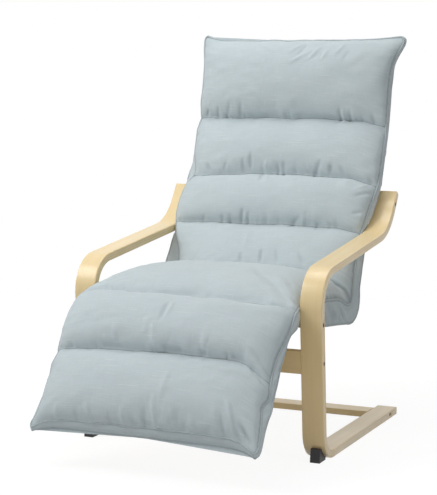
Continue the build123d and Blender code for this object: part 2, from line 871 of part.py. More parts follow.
# Seat: one panel from the crease to the seam over the pivot, then a nose that is round about
# the pivot, so that the leg rest's hollow end can turn past it, and a skirt over each rail
front_groove = cushion_section(
    cross_plane(pivot, seat_heading), arm_gap_half_width, cushion_gap, front_seam_height, front_crown
)
nose_section = cushion_section(
    cross_plane(pivot, seat_heading + nose_turn), wide_half_width, cushion_gap, front_seam_height, leg_crown
)
nose_axis = Axis(spot(pivot), (1, 0, 0))
seat_middle = seat_length * panel_place_shares[1]
skirt_inner_x = arm_gap_half_width - skirt_thickness
skirt_low = -rail_half
skirt_high = rest_height + skirt_overlap
skirt_start = along(seat_bolt, seat_heading, -(band_half + skirt_front))
skirt_rear = along(seat_corner, low_heading, -skirt_tail)
skirt_bend = along(seat_corner, low_heading, -(corner_reach + rail_half))
skirt_turn = along(seat_corner, seat_heading, corner_reach)


def beside(point, heading, height):
    # The point at a height above a line through point
    return along(point, heading - 90, height)


skirt_outline = side_points([
    beside(skirt_start, seat_heading, skirt_low),
    beside(seat_corner, corner_heading, skirt_low / cos(radians(corner_half_turn)) - skirt_corner_bulge),
    beside(skirt_bend, low_heading, skirt_low),
    beside(skirt_rear, low_heading, slat_top),
    beside(seat_corner, corner_heading, slat_top / cos(radians(corner_half_turn))),
    beside(skirt_turn, seat_heading, skirt_high),
    beside(skirt_start, seat_heading, skirt_high),
])

with BuildPart() as seat_cushion:
    revolve(nose_section, axis=nose_axis, revolution_arc=nose_sweep)
    split(bisect_by=Plane(origin=spot((pivot[0], pivot[1] + rest_height + cushion_gap))), keep=Keep.TOP)
    loft(sections=[front_groove, nose_section], ruled=True, clean=False)
    loft(
        sections=[
            crease,
            cushion_section(
                seat_plane(seat_middle), arm_gap_half_width, cushion_gap, seat_seam_height, seat_crown
            ),
            front_groove,
        ],
        clean=False,
    )
    for side in sides.values():
        with BuildSketch(Plane.YZ.offset(skirt_inner_x * side)):
            with BuildLine():
                FilletPolyline(*skirt_outline[:3], radius=seat_bend)
                Polyline(*skirt_outline[2:], skirt_outline[0])
            make_face()
        extrude(amount=skirt_thickness * side, clean=False)
seat_cushion.part.label = "seat_cushion"
export_step(seat_cushion.part, "parts/seat_cushion.step")

# Leg rest: two panels, hollowed at the top to clear the nose of the seat by the joint gap
leg_seam_place = leg_cushion_end * leg_seam_share
leg_seam_row = (leg_seam_place, wide_half_width, boxing_rise, seam_height, groove_crown)
leg_end_row = (leg_cushion_end, wide_half_width, end_rise, end_seam_height, groove_crown)
nose_clearance = cushion_section(
    cross_plane(pivot, rest_heading),
    wide_half_width + joint_gap,
    cushion_gap,
    front_seam_height + joint_gap,
    leg_crown,
    draw=-joint_gap,
)

with BuildPart() as leg_cushion:
    loft(
        sections=[
            cushion_section(
                rest_plane(leg_seam_place * place_share),
                wide_half_width,
                boxing_rise,
                seam_height,
                leg_crown * crown_share,
            )
            for place_share, crown_share in ((leg_start_share, 1.0), (leg_crown_place_share, 1.0),
                                             (panel_place_shares[2], panel_crown_shares[2]))
        ] + [cushion_section(rest_plane(leg_seam_place), *leg_seam_row[1:])],
        clean=False,
    )
    loft(sections=panel_sections(leg_seam_row, leg_end_row, leg_crown, rest_plane), clean=False)
    revolve(nose_clearance, axis=nose_axis, revolution_arc=360, mode=Mode.SUBTRACT)
leg_cushion.part.label = "leg_rest_cushion"
export_step(leg_cushion.part, "parts/leg_rest_cushion.step")
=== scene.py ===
import math

import bmesh
import bpy
import numpy as np
from mathutils import Matrix, Vector, noise


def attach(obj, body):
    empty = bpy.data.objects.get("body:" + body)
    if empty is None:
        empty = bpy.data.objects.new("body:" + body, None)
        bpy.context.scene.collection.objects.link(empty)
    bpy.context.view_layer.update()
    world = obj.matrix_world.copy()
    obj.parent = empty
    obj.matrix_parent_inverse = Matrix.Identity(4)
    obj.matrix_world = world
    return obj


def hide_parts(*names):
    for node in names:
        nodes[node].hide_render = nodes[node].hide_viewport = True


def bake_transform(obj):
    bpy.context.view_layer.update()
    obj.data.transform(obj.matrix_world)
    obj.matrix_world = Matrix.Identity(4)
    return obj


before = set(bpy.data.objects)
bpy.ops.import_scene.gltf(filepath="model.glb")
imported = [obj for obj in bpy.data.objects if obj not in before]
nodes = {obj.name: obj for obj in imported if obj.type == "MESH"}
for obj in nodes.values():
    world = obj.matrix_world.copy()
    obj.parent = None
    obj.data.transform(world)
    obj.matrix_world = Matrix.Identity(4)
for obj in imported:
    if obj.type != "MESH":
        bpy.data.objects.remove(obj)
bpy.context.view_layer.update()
print("frame loaded", len(nodes), "nodes")

scene = bpy.context.scene
chairShift = -0.178357  # side view places are measured from the leg's foot, and this centres them
pivot = Vector((0.0, -0.268246, 0.347881))  # where the leg rest turns


def addObject(name, data):
    made = bpy.data.objects.new(name, data)
    scene.collection.objects.link(made)
    return made


def evaluated(piece):
    return piece.evaluated_get(bpy.context.evaluated_depsgraph_get())


# Camera, at the photograph's viewing angle

cameraSetup = {
    "place": (1.453, -3.43237, 0.875),
    "yaw": 23.41,
    "pitch": 5.84,
    "roll": 0.60,
    "lens": 104.54,
    "sensor": 36.0,
    "clipEnd": 50.0,
}


def makeCamera(setup):
    data = bpy.data.cameras.new("studioCamera")
    data.lens = setup["lens"]
    data.sensor_width = setup["sensor"]
    data.sensor_fit = "AUTO"
    data.clip_end = setup["clipEnd"]
    camera = addObject("studioCamera", data)
    yaw, pitch, roll = (math.radians(setup[k]) for k in ("yaw", "pitch", "roll"))
    look = Vector((-math.sin(yaw) * math.cos(pitch), math.cos(yaw) * math.cos(pitch),
                   -math.sin(pitch)))
    right = Vector((math.cos(yaw), math.sin(yaw), 0.0))
    up = right.cross(look)
    rolledRight = right * math.cos(roll) + up * math.sin(roll)
    rolledUp = up * math.cos(roll) - right * math.sin(roll)
    turn = Matrix((rolledRight, rolledUp, -look)).transposed().to_4x4()
    camera.matrix_world = Matrix.Translation(setup["place"]) @ turn
    scene.camera = camera


makeCamera(cameraSetup)
print("camera placed")


# Side view lines, each a dense table of distance, y, z and heading

def lineTable(points, radii, step=0.001):
    # Straight runs joined by arcs, sampled at an even step
    points = [np.array(p, float) for p in points]
    pieces = []
    start = points[0]
    for i, radius in enumerate(radii, start=1):
        before = points[i] - points[i - 1]
        after = points[i + 1] - points[i]
        headingIn = math.atan2(before[1], before[0])
        headingOut = math.atan2(after[1], after[0])
        turn = (headingOut - headingIn + math.pi) % (2 * math.pi) - math.pi
        reach = radius * math.tan(abs(turn) / 2)
        arcStart = points[i] - before / np.linalg.norm(before) * reach
        arcEnd = points[i] + after / np.linalg.norm(after) * reach
        pieces.append(("run", start, arcStart, headingIn))
        pieces.append(("arc", arcStart, radius, headingIn, turn))
        start = arcEnd
    last = points[-1] - points[-2]
    pieces.append(("run", start, points[-1], math.atan2(last[1], last[0])))
    rows, total = [], 0.0
    for piece in pieces:
        if piece[0] == "run":
            length = float(np.linalg.norm(piece[2] - piece[1]))
            for d in np.arange(0, length, step):
                at = piece[1] + (piece[2] - piece[1]) * d / length
                rows.append((total + d, at[0], at[1], piece[3]))
        else:
            _, at0, radius, heading, turn = piece
            side = math.copysign(1.0, turn)
            centre = at0 + radius * side * np.array((-math.sin(heading), math.cos(heading)))
            length = radius * abs(turn)
            for d in np.arange(0, length, step):
                h = heading + side * d / radius
                at = centre - radius * side * np.array((-math.sin(h), math.cos(h)))
                rows.append((total + d, at[0], at[1], h))
        total += length
    rows.append((total, *points[-1], pieces[-1][3]))
    table = np.array(rows)
    table[:, 3] = np.unwrap(table[:, 3])
    return table


def alongLine(point, degreesHeading, distance):
    h = math.radians(degreesHeading)
    return (point[0] + distance * math.cos(h), point[1] + distance * math.sin(h))


strip = {
    "points": [(0.6045, 0.0105), (0.0, 0.0105), (-0.046, 0.459), (0.494, 0.522), (0.5665, 0.626)],
    "bends": [0.0665, 0.085, 0.161],
    "thickness": 0.021,
    "middleX": 0.3065,
}
stripLine = lineTable([(y + chairShift, z) for y, z in strip["points"]], strip["bends"])

seat = {
    "seatBolt": (-0.034103, 0.343),
    "corner": (0.352164, 0.309206),
    "lumbar": (0.645436, 0.744),
    "top": (0.704587, 1.048304),
    "highHeading": 259.0,
    "seatHeading": 175.0,
    "restHeading": 231.0,
    "lumbarBend": 0.6,
    "seatBend": 0.08,
    "noseBend": 0.03,
    "pivotReach": 0.056,
    "restEnd": 0.366,
    "railFront": 0.026,
    "railThickness": 0.024,
    "railMiddleX": 0.242,
    "topInset": 0.020,
}
pivotSide = alongLine(seat["seatBolt"], seat["seatHeading"], seat["pivotReach"])
restTip = alongLine(pivotSide, seat["restHeading"], seat["restEnd"])
railTop = alongLine(seat["top"], seat["highHeading"], seat["topInset"])
railTip = alongLine(seat["seatBolt"], seat["seatHeading"], seat["railFront"])
cushionCorners = (seat["top"], seat["lumbar"], seat["corner"], pivotSide, restTip)
cushionLine = lineTable([(y + chairShift, z) for y, z in cushionCorners],
                        [seat["lumbarBend"], seat["seatBend"], seat["noseBend"]])
railCorners = (railTop, seat["lumbar"], seat["corner"], railTip)
railLine = lineTable([(y + chairShift, z) for y, z in railCorners],
                     [seat["lumbarBend"], seat["seatBend"]])


# Shader helpers and shared node groups

def socketOf(node, name):
    return next(s for s in node.inputs if s.name == name and s.enabled)


class Tree:
    def __init__(self, tree):
        self.tree = tree
        self.column = 0

    def put(self, value, target):
        # A socket is linked, anything else is set as the value
        if isinstance(value, bpy.types.NodeSocket):
            self.tree.links.new(value, target)
        else:
            target.default_value = value

    def node(self, kind, inputs=None, **settings):
        made = self.tree.nodes.new(kind)
        self.column += 1
        made.location = (self.column * 170 - 1400, (self.column % 5) * -160)
        for key, value in settings.items():
            setattr(made, key, value)
        for key, value in (inputs or {}).items():
            self.put(value, made.inputs[key] if isinstance(key, int) else socketOf(made, key))
        return made

    def math(self, operation, a, b=0.0, clamp=False):
        made = self.node("ShaderNodeMath", {0: a, 1: b}, operation=operation, use_clamp=clamp)
        return made.outputs[0]

    def plus(self, a, b):
        return self.math("ADD", a, b)

    def times(self, a, b):
        return self.math("MULTIPLY", a, b)

    def mixColor(self, factor, a, b, blend="MIX"):
        made = self.node("ShaderNodeMix", {0: factor, 6: a, 7: b},
                         data_type="RGBA", blend_type=blend)
        return made.outputs[2]

    def span(self, value, low, high, outLow=0.0, outHigh=1.0):
        ends = {"From Min": low, "From Max": high, "To Min": outLow, "To Max": outHigh}
        return self.node("ShaderNodeMapRange", {"Value": value, **ends}).outputs[0]

    def stretch(self, place, scale):
        return self.node("ShaderNodeMapping", {"Vector": place, "Scale": scale}).outputs[0]

    def noise(self, place, scale, detail, **more):
        inputs = {"Vector": place, "Scale": scale, "Detail": detail, **more}
        return self.node("ShaderNodeTexNoise", inputs).outputs[0]

    def objectPlace(self):
        return self.node("ShaderNodeTexCoord").outputs["Object"]


def newGroup(name, inputs, outputs):
    group = bpy.data.node_groups.new(name, "ShaderNodeTree")
    for label, kind, value in inputs:
        made = group.interface.new_socket(name=label, in_out="INPUT", socket_type=kind)
        if value is not None:
            made.default_value = value
    for label, kind in outputs:
        group.interface.new_socket(name=label, in_out="OUTPUT", socket_type=kind)
    t = Tree(group)
    return group, t, t.node("NodeGroupInput").outputs, t.node("NodeGroupOutput").inputs


def emptyTree(owner):
    owner.use_nodes = True
    owner.node_tree.nodes.clear()
    return Tree(owner.node_tree)


def newMaterial(name):
    material = bpy.data.materials.new(name)
    t = emptyTree(material)
    shader = t.node("ShaderNodeBsdfPrincipled")
    t.put(shader.outputs[0], t.node("ShaderNodeOutputMaterial").inputs["Surface"])
    return material, t, shader


def feed(t, shader, **sockets):
    for name, value in sockets.items():
        t.put(value, shader.inputs[name.replace("_", " ")])


birch = {
    "pale": (0.87, 0.69, 0.385, 1),
    "deep": (0.77, 0.575, 0.285, 1),
    "glueLine": (0.33, 0.20, 0.09, 1),
    "figureStretch": (60.0, 2.2, 60.0),
    "poreStretch": (900.0, 14.0, 900.0),
    "cloudScale": 7.0,
    "figureStrength": 0.42,
    "poreStrength": 0.16,
    "cloudStrength": 0.18,
    "plyCount": 7.0,
    "glueStrength": 0.5,
    "everyOtherPly": 0.16,
    "roughness": (0.34, 0.48),
    "bumpStrength": 0.25,
    "bumpDepth": 0.0006,
    "coat": 0.35,
    "coatRoughness": 0.22,
}


def makeWoodGroup(look):
    # Birch in straightened coordinates: X across the strip, Y along its grain, Z through its plies
    group, t, given, result = newGroup(
        "birchFigure",
        [
            ("Place", "NodeSocketVector", None),
            ("Pale", "NodeSocketColor", look["pale"]),
            ("Deep", "NodeSocketColor", look["deep"]),
            ("Grain Scale", "NodeSocketFloat", 1.0),
            ("Ply Count", "NodeSocketFloat", look["plyCount"]),
            ("Ply Height", "NodeSocketFloat", strip["thickness"]),
            ("Ply Strength", "NodeSocketFloat", 1.0),
        ],
        [("Color", "NodeSocketColor"), ("Roughness", "NodeSocketFloat"),
         ("Height", "NodeSocketFloat")],
    )
    place = given["Place"]
    scaled = t.node("ShaderNodeVectorMath", {0: place, "Scale": given["Grain Scale"]},
                    operation="SCALE").outputs[0]
    figure = t.noise(t.stretch(scaled, look["figureStretch"]), 1.0, 5.0,
                     Roughness=0.6, Distortion=0.4)
    pores = t.noise(t.stretch(scaled, look["poreStretch"]), 1.0, 3.0)
    cloudy = t.noise(scaled, look["cloudScale"], 2.0)
    grain = t.times(t.span(figure, 0.35, 0.72), look["figureStrength"])
    grain = t.plus(grain, t.times(t.span(pores, 0.45, 0.75), look["poreStrength"]))
    cloud = t.times(t.span(cloudy, 0.4, 0.7), look["cloudStrength"])
    grain = t.math("ADD", grain, cloud, clamp=True)
    base = t.mixColor(grain, given["Pale"], given["Deep"])
    # Glue lines between the plies, and every other ply darker
    through = t.node("ShaderNodeSeparateXYZ", {0: place}).outputs[2]
    level = t.plus(t.math("DIVIDE", through, given["Ply Height"]), 0.5)
    level = t.times(level, given["Ply Count"])
    fromMiddle = t.math("ABSOLUTE", t.math("SUBTRACT", t.math("FRACT", level), 0.5))
    line = t.span(fromMiddle, 0.40, 0.49)
    odd = t.math("MODULO", t.math("ABSOLUTE", t.math("FLOOR", level)), 2.0)
    fromFace = t.math("MINIMUM", level, t.math("SUBTRACT", given["Ply Count"], level))
    within = t.times(t.span(fromFace, 0.02, 0.10), given["Ply Strength"])
    plies = t.plus(t.times(line, look["glueStrength"]), t.times(odd, look["everyOtherPly"]))
    plyMask = t.math("MULTIPLY", within, plies, clamp=True)
    t.put(t.mixColor(plyMask, base, look["glueLine"]), result["Color"])
    t.put(t.span(grain, 0.0, 0.8, *look["roughness"]), result["Roughness"])
    t.put(t.plus(t.times(grain, 0.6), t.times(plyMask, -0.6)), result["Height"])
    return group


woodGroup = makeWoodGroup(birch)


def birchMaterial(name, attribute=None, turn=(0.0, 0.0, 0.0), plyHeight=strip["thickness"],
                  plyStrength=0.9):
    # The figure follows the attribute round the bend, or without one the object's own axes
    material, t, shader = newMaterial(name)
    if attribute:
        place = t.node("ShaderNodeAttribute", attribute_name=attribute).outputs["Vector"]
    else:
        place = t.node("ShaderNodeMapping",
                       {"Vector": t.objectPlace(), "Rotation": turn}).outputs[0]
    figure = t.node("ShaderNodeGroup", {
        "Place": place, "Pale": birch["pale"], "Deep": birch["deep"],
        "Ply Count": birch["plyCount"], "Ply Height": plyHeight, "Ply Strength": plyStrength,
    }, node_tree=woodGroup).outputs
    bump = t.node("ShaderNodeBump", {"Height": figure["Height"], "Strength": birch["bumpStrength"],
                                     "Distance": birch["bumpDepth"]})
    feed(t, shader, Base_Color=figure["Color"], Roughness=figure["Roughness"],
         Normal=bump.outputs[0], Coat_Weight=birch["coat"], Coat_Roughness=birch["coatRoughness"])
    return material


birchStrip = birchMaterial("birchStrip", attribute="grain")
birchRail = birchMaterial("birchRail", attribute="grain", plyHeight=seat["railThickness"])
birchCross = birchMaterial("birchCross", turn=(0.0, 0.0, math.pi / 2), plyStrength=0.0)
print("wood ready")


# Bent wood: copies of the CAD strips that carry a coordinate along the bend

def straighten(places, table, middleX, chunk=500):
    # X across, Y the distance along the line, Z the height above it
    best = np.zeros(places.shape)
    for start in range(0, len(places), chunk):
        part = places[start:start + chunk]
        gap = ((part[:, None, 1:3] - table[None, :, 1:3]) ** 2).sum(2)
        row = table[gap.argmin(1)]
        ahead = np.stack((np.cos(row[:, 3]), np.sin(row[:, 3])), 1)
        beyond = part[:, 1:3] - row[:, 1:3]
        best[start:start + chunk, 0] = part[:, 0] - middleX
        best[start:start + chunk, 1] = row[:, 0] + (beyond * ahead).sum(1)
        best[start:start + chunk, 2] = beyond[:, 0] * -ahead[:, 1] + beyond[:, 1] * ahead[:, 0]
    return best


def bentPiece(nodeName, pieceName, body, table, middleX, material):
    mesh = nodes[nodeName].data.copy()
    mesh.name = pieceName
    work = bmesh.new()
    work.from_mesh(mesh)
    bmesh.ops.remove_doubles(work, verts=work.verts, dist=0.00001)
    work.to_mesh(mesh)
    work.free()
    piece = addObject(pieceName, mesh)
    places = straighten(np.array([v.co[:] for v in mesh.vertices]), table, middleX)
    grain = mesh.attributes.new("grain", "FLOAT_VECTOR", "POINT")
    grain.data.foreach_set("vector", places.astype(np.float32).ravel())
    mesh.materials.clear()
    mesh.materials.append(material)
    for polygon in mesh.polygons:
        polygon.use_smooth = True
        polygon.material_index = 0
    mesh.set_sharp_from_angle(angle=math.radians(32))
    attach(piece, body)
    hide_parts(nodeName)


for sideName, sign in (("left", -1), ("right", 1)):
    bentPiece(f"side_frame_{sideName}", f"bentSide_{sideName}", "root", stripLine,
              sign * strip["middleX"], birchStrip)
    bentPiece(f"seat_back_rail_{sideName}", f"bentRail_{sideName}", "root", railLine,
              sign * seat["railMiddleX"], birchRail)
print("bent wood ready")


# Cushion: one sewn cover from the top of the back to the end of the leg rest. Places are metres
# down the line that it lies on, heights are above the slats, and both sides have their own widths

def nearestPlace(y, z):
    gap = (cushionLine[:, 1] - y) ** 2 + (cushionLine[:, 2] - z) ** 2
    return float(cushionLine[np.argmin(gap), 0])


cornerMiddle = nearestPlace(seat["corner"][0] + chairShift, seat["corner"][1])
pivotPlace = nearestPlace(pivot.y, pivot.z)


def keysOf(topKeys, cornerKeys=(), pivotKeys=()):
    # Places in mm from the line's top, the seat's corner and the pivot, values in 0.1 mm
    parts = ((0.0, topKeys), (cornerMiddle, cornerKeys), (pivotPlace, pivotKeys))
    return [(start + place / 1000, value / 10000) for start, keys in parts for place, value in keys]


def rowsOf(names, *rows):
    return [dict(zip(names, row)) for row in rows]


cushion = {
    "across": 92,
    "cell": 0.0068,
    "fewestRows": 6,
    "boxRows": 7,
    "restHeight": 0.0213,
    "panelPower": (2.8, 0.55),
    "acrossPower": (4.0, 0.5),
    # Rows are spaced evenly at this height over the rest height, within these limits of density
    "spacingHeight": 0.055,
    "spacingLimits": (0.35, 4.0),
    # The boxing hangs as a skirt from the first depth on, wholly so when deeper by the second
    "skirtFrom": 0.036,
    "skirtRange": 0.03,
    "boxBelly": 0.0035,
    "endBelly": 0.004,
    # Unevenness: how fine over its two places, layer of the noise, size
    "wobbles": {
        "small": (40, 40, 3.0, 0.0012),
        "large": (14, 9, 7.0, 0.0012 * 2.5),
        "alongLarge": (9, 3, 11.0, 0.004),
        "alongSmall": (34, 3, 17.0, 0.002),
        "atEnds": (20, 3, 31.0, 0.003),
        "pleat": (30, 1.4, 5.0, 0.008),
        "tuck": (30, 1, 21.0, 0.002),
    },
    # How square a drawn seam is across, and where and how far its ends are drawn
    "drawPower": 2.5,
    "footDrawPower": 6.0,
    "endFrom": 0.70,
    "endRange": 0.36,
    "endGain": 1.08,
    # The cloth is cut this share wider, filled at this pressure, and moves this far at most
    "growAcross": 0.08,
    "pressure": 3.5,
    "frames": 22,
    "reach": 0.018,
    "besideFrame": 0.2772,
    "besideReach": 0.0145,
    # Cross seams: place, crown over the side seams, how far the middle and the ends are drawn
    # along, and how square the crown is across
    "seams": rowsOf(
        ("at", "crown", "middle", "left", "right", "square"),
        (0.008, 0.004, 0.0, 0.0, 0.0, 4.0),
        (0.248, 0.010, -0.006, -0.005, 0.012, 4.0),
        (0.451, 0.017, -0.011, -0.009, 0.011, 4.0),
        (0.600, 0.009, 0.0, 0.0, 0.014, 4.0),
        (cornerMiddle, 0.071, 0.0, 0.0, 0.0, 8.0),
        (pivotPlace - 0.003, 0.020, 0.0, 0.0, 0.0, 4.0),
        (pivotPlace + 0.150, 0.021, -0.011, 0.0, 0.036, 4.0),
        (pivotPlace + 0.343, 0.008, -0.012, 0.0, 0.0, 4.0),
    ),
    # Panels between them: puff, how far it sags towards the lower seam, how late the crown changes
    "panels": rowsOf(
        ("puff", "sag", "rise"),
        (0.044, 1.15, 1.0),
        (0.036, 1.15, 1.0),
        (0.036, 1.15, 1.0),
        (0.030, 1.10, 2.0),
        (0.027, 2.60, 1.5),
        (0.036, 1.15, 1.0),
        (0.037, 1.20, 1.0),
    ),
    # Corners drawn out to points: how far across and along, how long, how sharp
    "ears": rowsOf(
        ("end", "side", "across", "along", "length", "fall", "sharp"),
        ("top", -1, 0.0085, -0.018, 0.033, 2.0, 12),
        ("top", 1, 0.0300, -0.011, 0.046, 2.6, 7),
        ("foot", -1, 0.002, 0.014, 0.030, 1.6, 12),
        ("foot", 1, 0.0, 0.021, 0.036, 1.8, 9),
    ),
    # Half the length over which the heading of the cutting planes is averaged, down the line
    "fan": keysOf([(0, 600), (600, 800)], cornerKeys=[(0, 1100)],
                  pivotKeys=[(-150, 500), (0, 450), (343, 450)]),
    # Half widths of the cover at its front edges and at its rear edge
    "leftWidth": keysOf([
        (8, 2775), (15, 2850), (24, 2868), (47, 2878), (83, 2850), (155, 2838), (192, 2860),
        (235, 2820), (248, 2795), (262, 2830), (289, 2865), (332, 2820), (375, 2785), (400, 2715),
        (434, 2630), (447, 2640), (470, 2760), (500, 2845), (538, 2865), (568, 2850), (585, 2810),
        (600, 2770), (617, 2740), (637, 2680), (665, 2560), (693, 2440), (723, 2360), (760, 2340),
        (800, 2380), (840, 2500), (870, 2640), (910, 2750),
    ], pivotKeys=[
        (-100, 2758), (-45, 2770), (-10, 2840), (40, 2925), (89, 2908), (119, 2887), (143, 2865),
        (152, 2830), (162, 2850), (185, 2885), (213, 2828), (246, 2775), (303, 2782), (321, 2802),
        (330, 2855), (337, 2870), (343, 2815),
    ]),
    "rightWidth": keysOf([
        (8, 2765), (15, 2845), (24, 2866), (54, 2870), (145, 2835), (235, 2850), (256, 2835),
        (275, 2860), (330, 2885), (398, 2905), (447, 2910), (461, 2885), (491, 2857), (513, 2825),
        (532, 2808), (553, 2785), (579, 2755), (608, 2735), (650, 2735), (700, 2755), (760, 2785),
        (827, 2820), (860, 2790), (900, 2765),
    ], pivotKeys=[
        (-100, 2758), (-45, 2770), (-10, 2860), (16, 2890), (44, 2850), (75, 2812), (92, 2788),
        (125, 2795), (154, 2819), (178, 2850), (196, 2840), (212, 2790), (226, 2775), (242, 2803),
        (266, 2861), (291, 2906), (317, 2950), (330, 2975), (337, 2965), (343, 2905),
    ]),
    "rearWidth": keysOf([
        (8, 2775), (15, 2850), (24, 2868), (65, 2869), (147, 2840), (234, 2850), (290, 2857),
        (358, 2866), (400, 2885), (450, 2925), (489, 2890), (526, 2860), (600, 2845), (660, 2852),
        (716, 2880), (760, 2880), (827, 2845), (880, 2790), (940, 2785),
    ], pivotKeys=[
        (-100, 2760), (-45, 2770), (-15, 2830), (11, 2872), (35, 2825), (52, 2833), (79, 2879),
        (131, 2863), (156, 2892), (216, 2915), (243, 2945), (267, 2920), (294, 2920), (322, 2940),
        (330, 2945), (337, 2925), (343, 2865),
    ]),
    # Front seams, above the rest height
    "leftSeam": keysOf([
        (0, 160), (50, 230), (200, 240), (248, 200), (350, 300), (451, 250), (600, 300),
        (720, 260), (790, 160), (827, 120), (890, 220), (950, 280),
    ], pivotKeys=[
        (-80, 300), (0, 240), (60, 280), (150, 240), (200, 260), (300, 290), (343, 240),
    ]),
    "rightSeam": keysOf([
        (0, 140), (50, 230), (200, 240), (248, 210), (350, 300), (451, 260), (600, 300),
        (720, 250), (790, 140), (827, 60), (860, 120), (910, 240), (950, 280),
    ], pivotKeys=[
        (-80, 260), (-45, 160), (0, 100), (30, 70), (60, 140), (100, 220), (150, 240), (195, 140),
        (225, 240), (300, 300), (343, 280),
    ]),
    # Rear seam, above the line itself: it dips under the seat as a skirt beside the rails
    "rearSeam": keysOf([
        (0, 270), (600, 280),
    ], cornerKeys=[
        (-167, 278), (-118, 255), (-70, 150), (-55, -30), (-40, -165), (-18, -225), (12, -235),
        (50, -175), (110, -160),
    ], pivotKeys=[
        (-82, -150), (-68, 125), (-44, 125), (-30, -40), (0, -60), (30, 80), (70, 260),
        (160, 280), (343, 300),
    ]),
}

# The rear face: turned in behind its seam, then flat on the slats
rearFace = {
    "turnIn": 0.0148,
    "flatInset": 0.060,
    "skirtOut": 0.0447,
    "skirtRange": 0.020,
    "lift": 0.0004,
    "flatPoints": 11,
    "rest": keysOf([(0, 225), (450, 225), (620, 218)], pivotKeys=[(343, 218)]),
}

seamPlaces = [seam["at"] for seam in cushion["seams"]]
coverStart, coverEnd = seamPlaces[0], seamPlaces[-1]


def readKeys(keys, at):
    return np.interp(at, [k[0] for k in keys], [k[1] for k in keys])


def smoothHeading(at):
    # The cutting planes fan out gradually through the corner and over the nose
    distance, heading = cushionLine[:, 0], cushionLine[:, 3]
    between = (heading[1:] + heading[:-1]) / 2 * np.diff(distance)
    total = np.concatenate(([0.0], np.cumsum(between)))
    half = readKeys(cushion["fan"], at)
    low, high = at - half, at + half
    lowSum = np.where(low < 0, low * heading[0], np.interp(low, distance, total))
    highSum = np.where(high > distance[-1], total[-1] + (high - distance[-1]) * heading[-1],
                       np.interp(high, distance, total))
    return (highSum - lowSum) / (2 * half)


def placeRows(samples=4000):
    # Rows at an even spacing along the front face, more of them over the nose than in the corner
    places = np.linspace(coverStart, coverEnd, samples)
    turning = np.gradient(smoothHeading(places), places)
    height = cushion["restHeight"] + cushion["spacingHeight"]
    front = np.clip(1 + height * turning, *cushion["spacingLimits"])
    length = np.concatenate(([0.0], np.cumsum((front[1:] + front[:-1]) / 2 * np.diff(places))))
    rows, panels, seamAt = [coverStart], [0], [0]
    for index, (first, last) in enumerate(zip(seamPlaces, seamPlaces[1:])):
        a, b = np.interp([first, last], places, length)
        count = max(cushion["fewestRows"], round((b - a) / cushion["cell"]))
        for k in range(1, count + 1):
            rows.append(float(np.interp(a + (b - a) * k / count, length, places)))
            panels.append(index)
        seamAt.append(len(rows) - 1)
    return np.array(rows), np.array(panels), seamAt


rowAt, rowPanel, seamRows = placeRows()
rowHeading = smoothHeading(rowAt)
rowCount = len(rowAt)
columns = cushion["across"] + 1
lastRow, lastColumn = rowCount - 1, columns - 1
acrossShare = np.linspace(-1, 1, columns)
rowOrigin = np.stack((np.interp(rowAt, cushionLine[:, 0], cushionLine[:, 1]),
                      np.interp(rowAt, cushionLine[:, 0], cushionLine[:, 2])), -1)
rowNormal = np.stack((np.sin(rowHeading), -np.cos(rowHeading)), -1)  # towards the sitter
rowAhead = np.stack((np.cos(rowHeading), np.sin(rowHeading)), -1)
rowWidth = {-1: readKeys(cushion["leftWidth"], rowAt), 1: readKeys(cushion["rightWidth"], rowAt)}
rowRearWidth = readKeys(cushion["rearWidth"], rowAt)
rowSeam = {-1: readKeys(cushion["leftSeam"], rowAt), 1: readKeys(cushion["rightSeam"], rowAt)}
rowRearSeam = readKeys(cushion["rearSeam"], rowAt)
print("cushion rows", rowCount, "columns", columns)


def sideOf(share):
    return 1 if share > 0 else -1


def softStep(value):
    value = np.clip(value, 0.0, 1.0)
    return value * value * (3 - 2 * value)


def skirtShare(depth):
    # 0 where the boxing is a strip, 1 where it is deep enough to hang as a skirt
    return np.clip((depth - cushion["skirtFrom"]) / cushion["skirtRange"], 0.0, 1.0)


def earPull(row, share):
    across = along = 0.0
    for ear in cushion["ears"]:
        if share * ear["side"] <= 0:
            continue
        gap = rowAt[row] - coverStart if ear["end"] == "top" else coverEnd - rowAt[row]
        near = math.exp(-(gap / ear["length"]) ** ear["fall"])
        across += ear["across"] * near * abs(share) ** ear["sharp"]
        along += ear["along"] * near * abs(share) ** ear["sharp"]
    return across, along


def seamDraw(seam, share):
    # How far a cross seam is drawn along the cushion at a place across it
    power = cushion["footDrawPower"] if seam["at"] == coverEnd else cushion["drawPower"]
    drawn = seam["middle"] * (1 - abs(share) ** power)
    end = seam["right"] if share > 0 else seam["left"]
    near = float(softStep((abs(share) - cushion["endFrom"]) / cushion["endRange"]))
    return drawn + end * near * cushion["endGain"]


def panelShare(row):
    index = rowPanel[row]
    first, last = seamPlaces[index], seamPlaces[index + 1]
    return index, min(1.0, max(0.0, (rowAt[row] - first) / (last - first)))


def frontHeight(row, share):
    index, a = panelShare(row)
    panel, seams = cushion["panels"][index], cushion["seams"]
    low, high = cushion["acrossPower"]
    if share > 0:
        low = seams[index]["square"] * (1 - a) + seams[index + 1]["square"] * a
    rise = seams[index + 1]["crown"] - seams[index]["crown"]
    crown = seams[index]["crown"] + rise * a ** panel["rise"]
    bend = abs(2 * a ** panel["sag"] - 1)
    inner, outer = cushion["panelPower"]
    puff = panel["puff"] * max(0.0, 1 - bend ** inner) ** outer
    edge = rowSeam[-1][row] + (rowSeam[1][row] - rowSeam[-1][row]) * (share + 1) / 2
    return cushion["restHeight"] + edge + (crown + puff) * max(0.0, 1 - abs(share) ** low) ** high


def frontShift(row, share):
    index, a = panelShare(row)
    seams = cushion["seams"]
    drawn = seamDraw(seams[index], share) * (1 - a) + seamDraw(seams[index + 1], share) * a
    return drawn + earPull(row, share)[1]


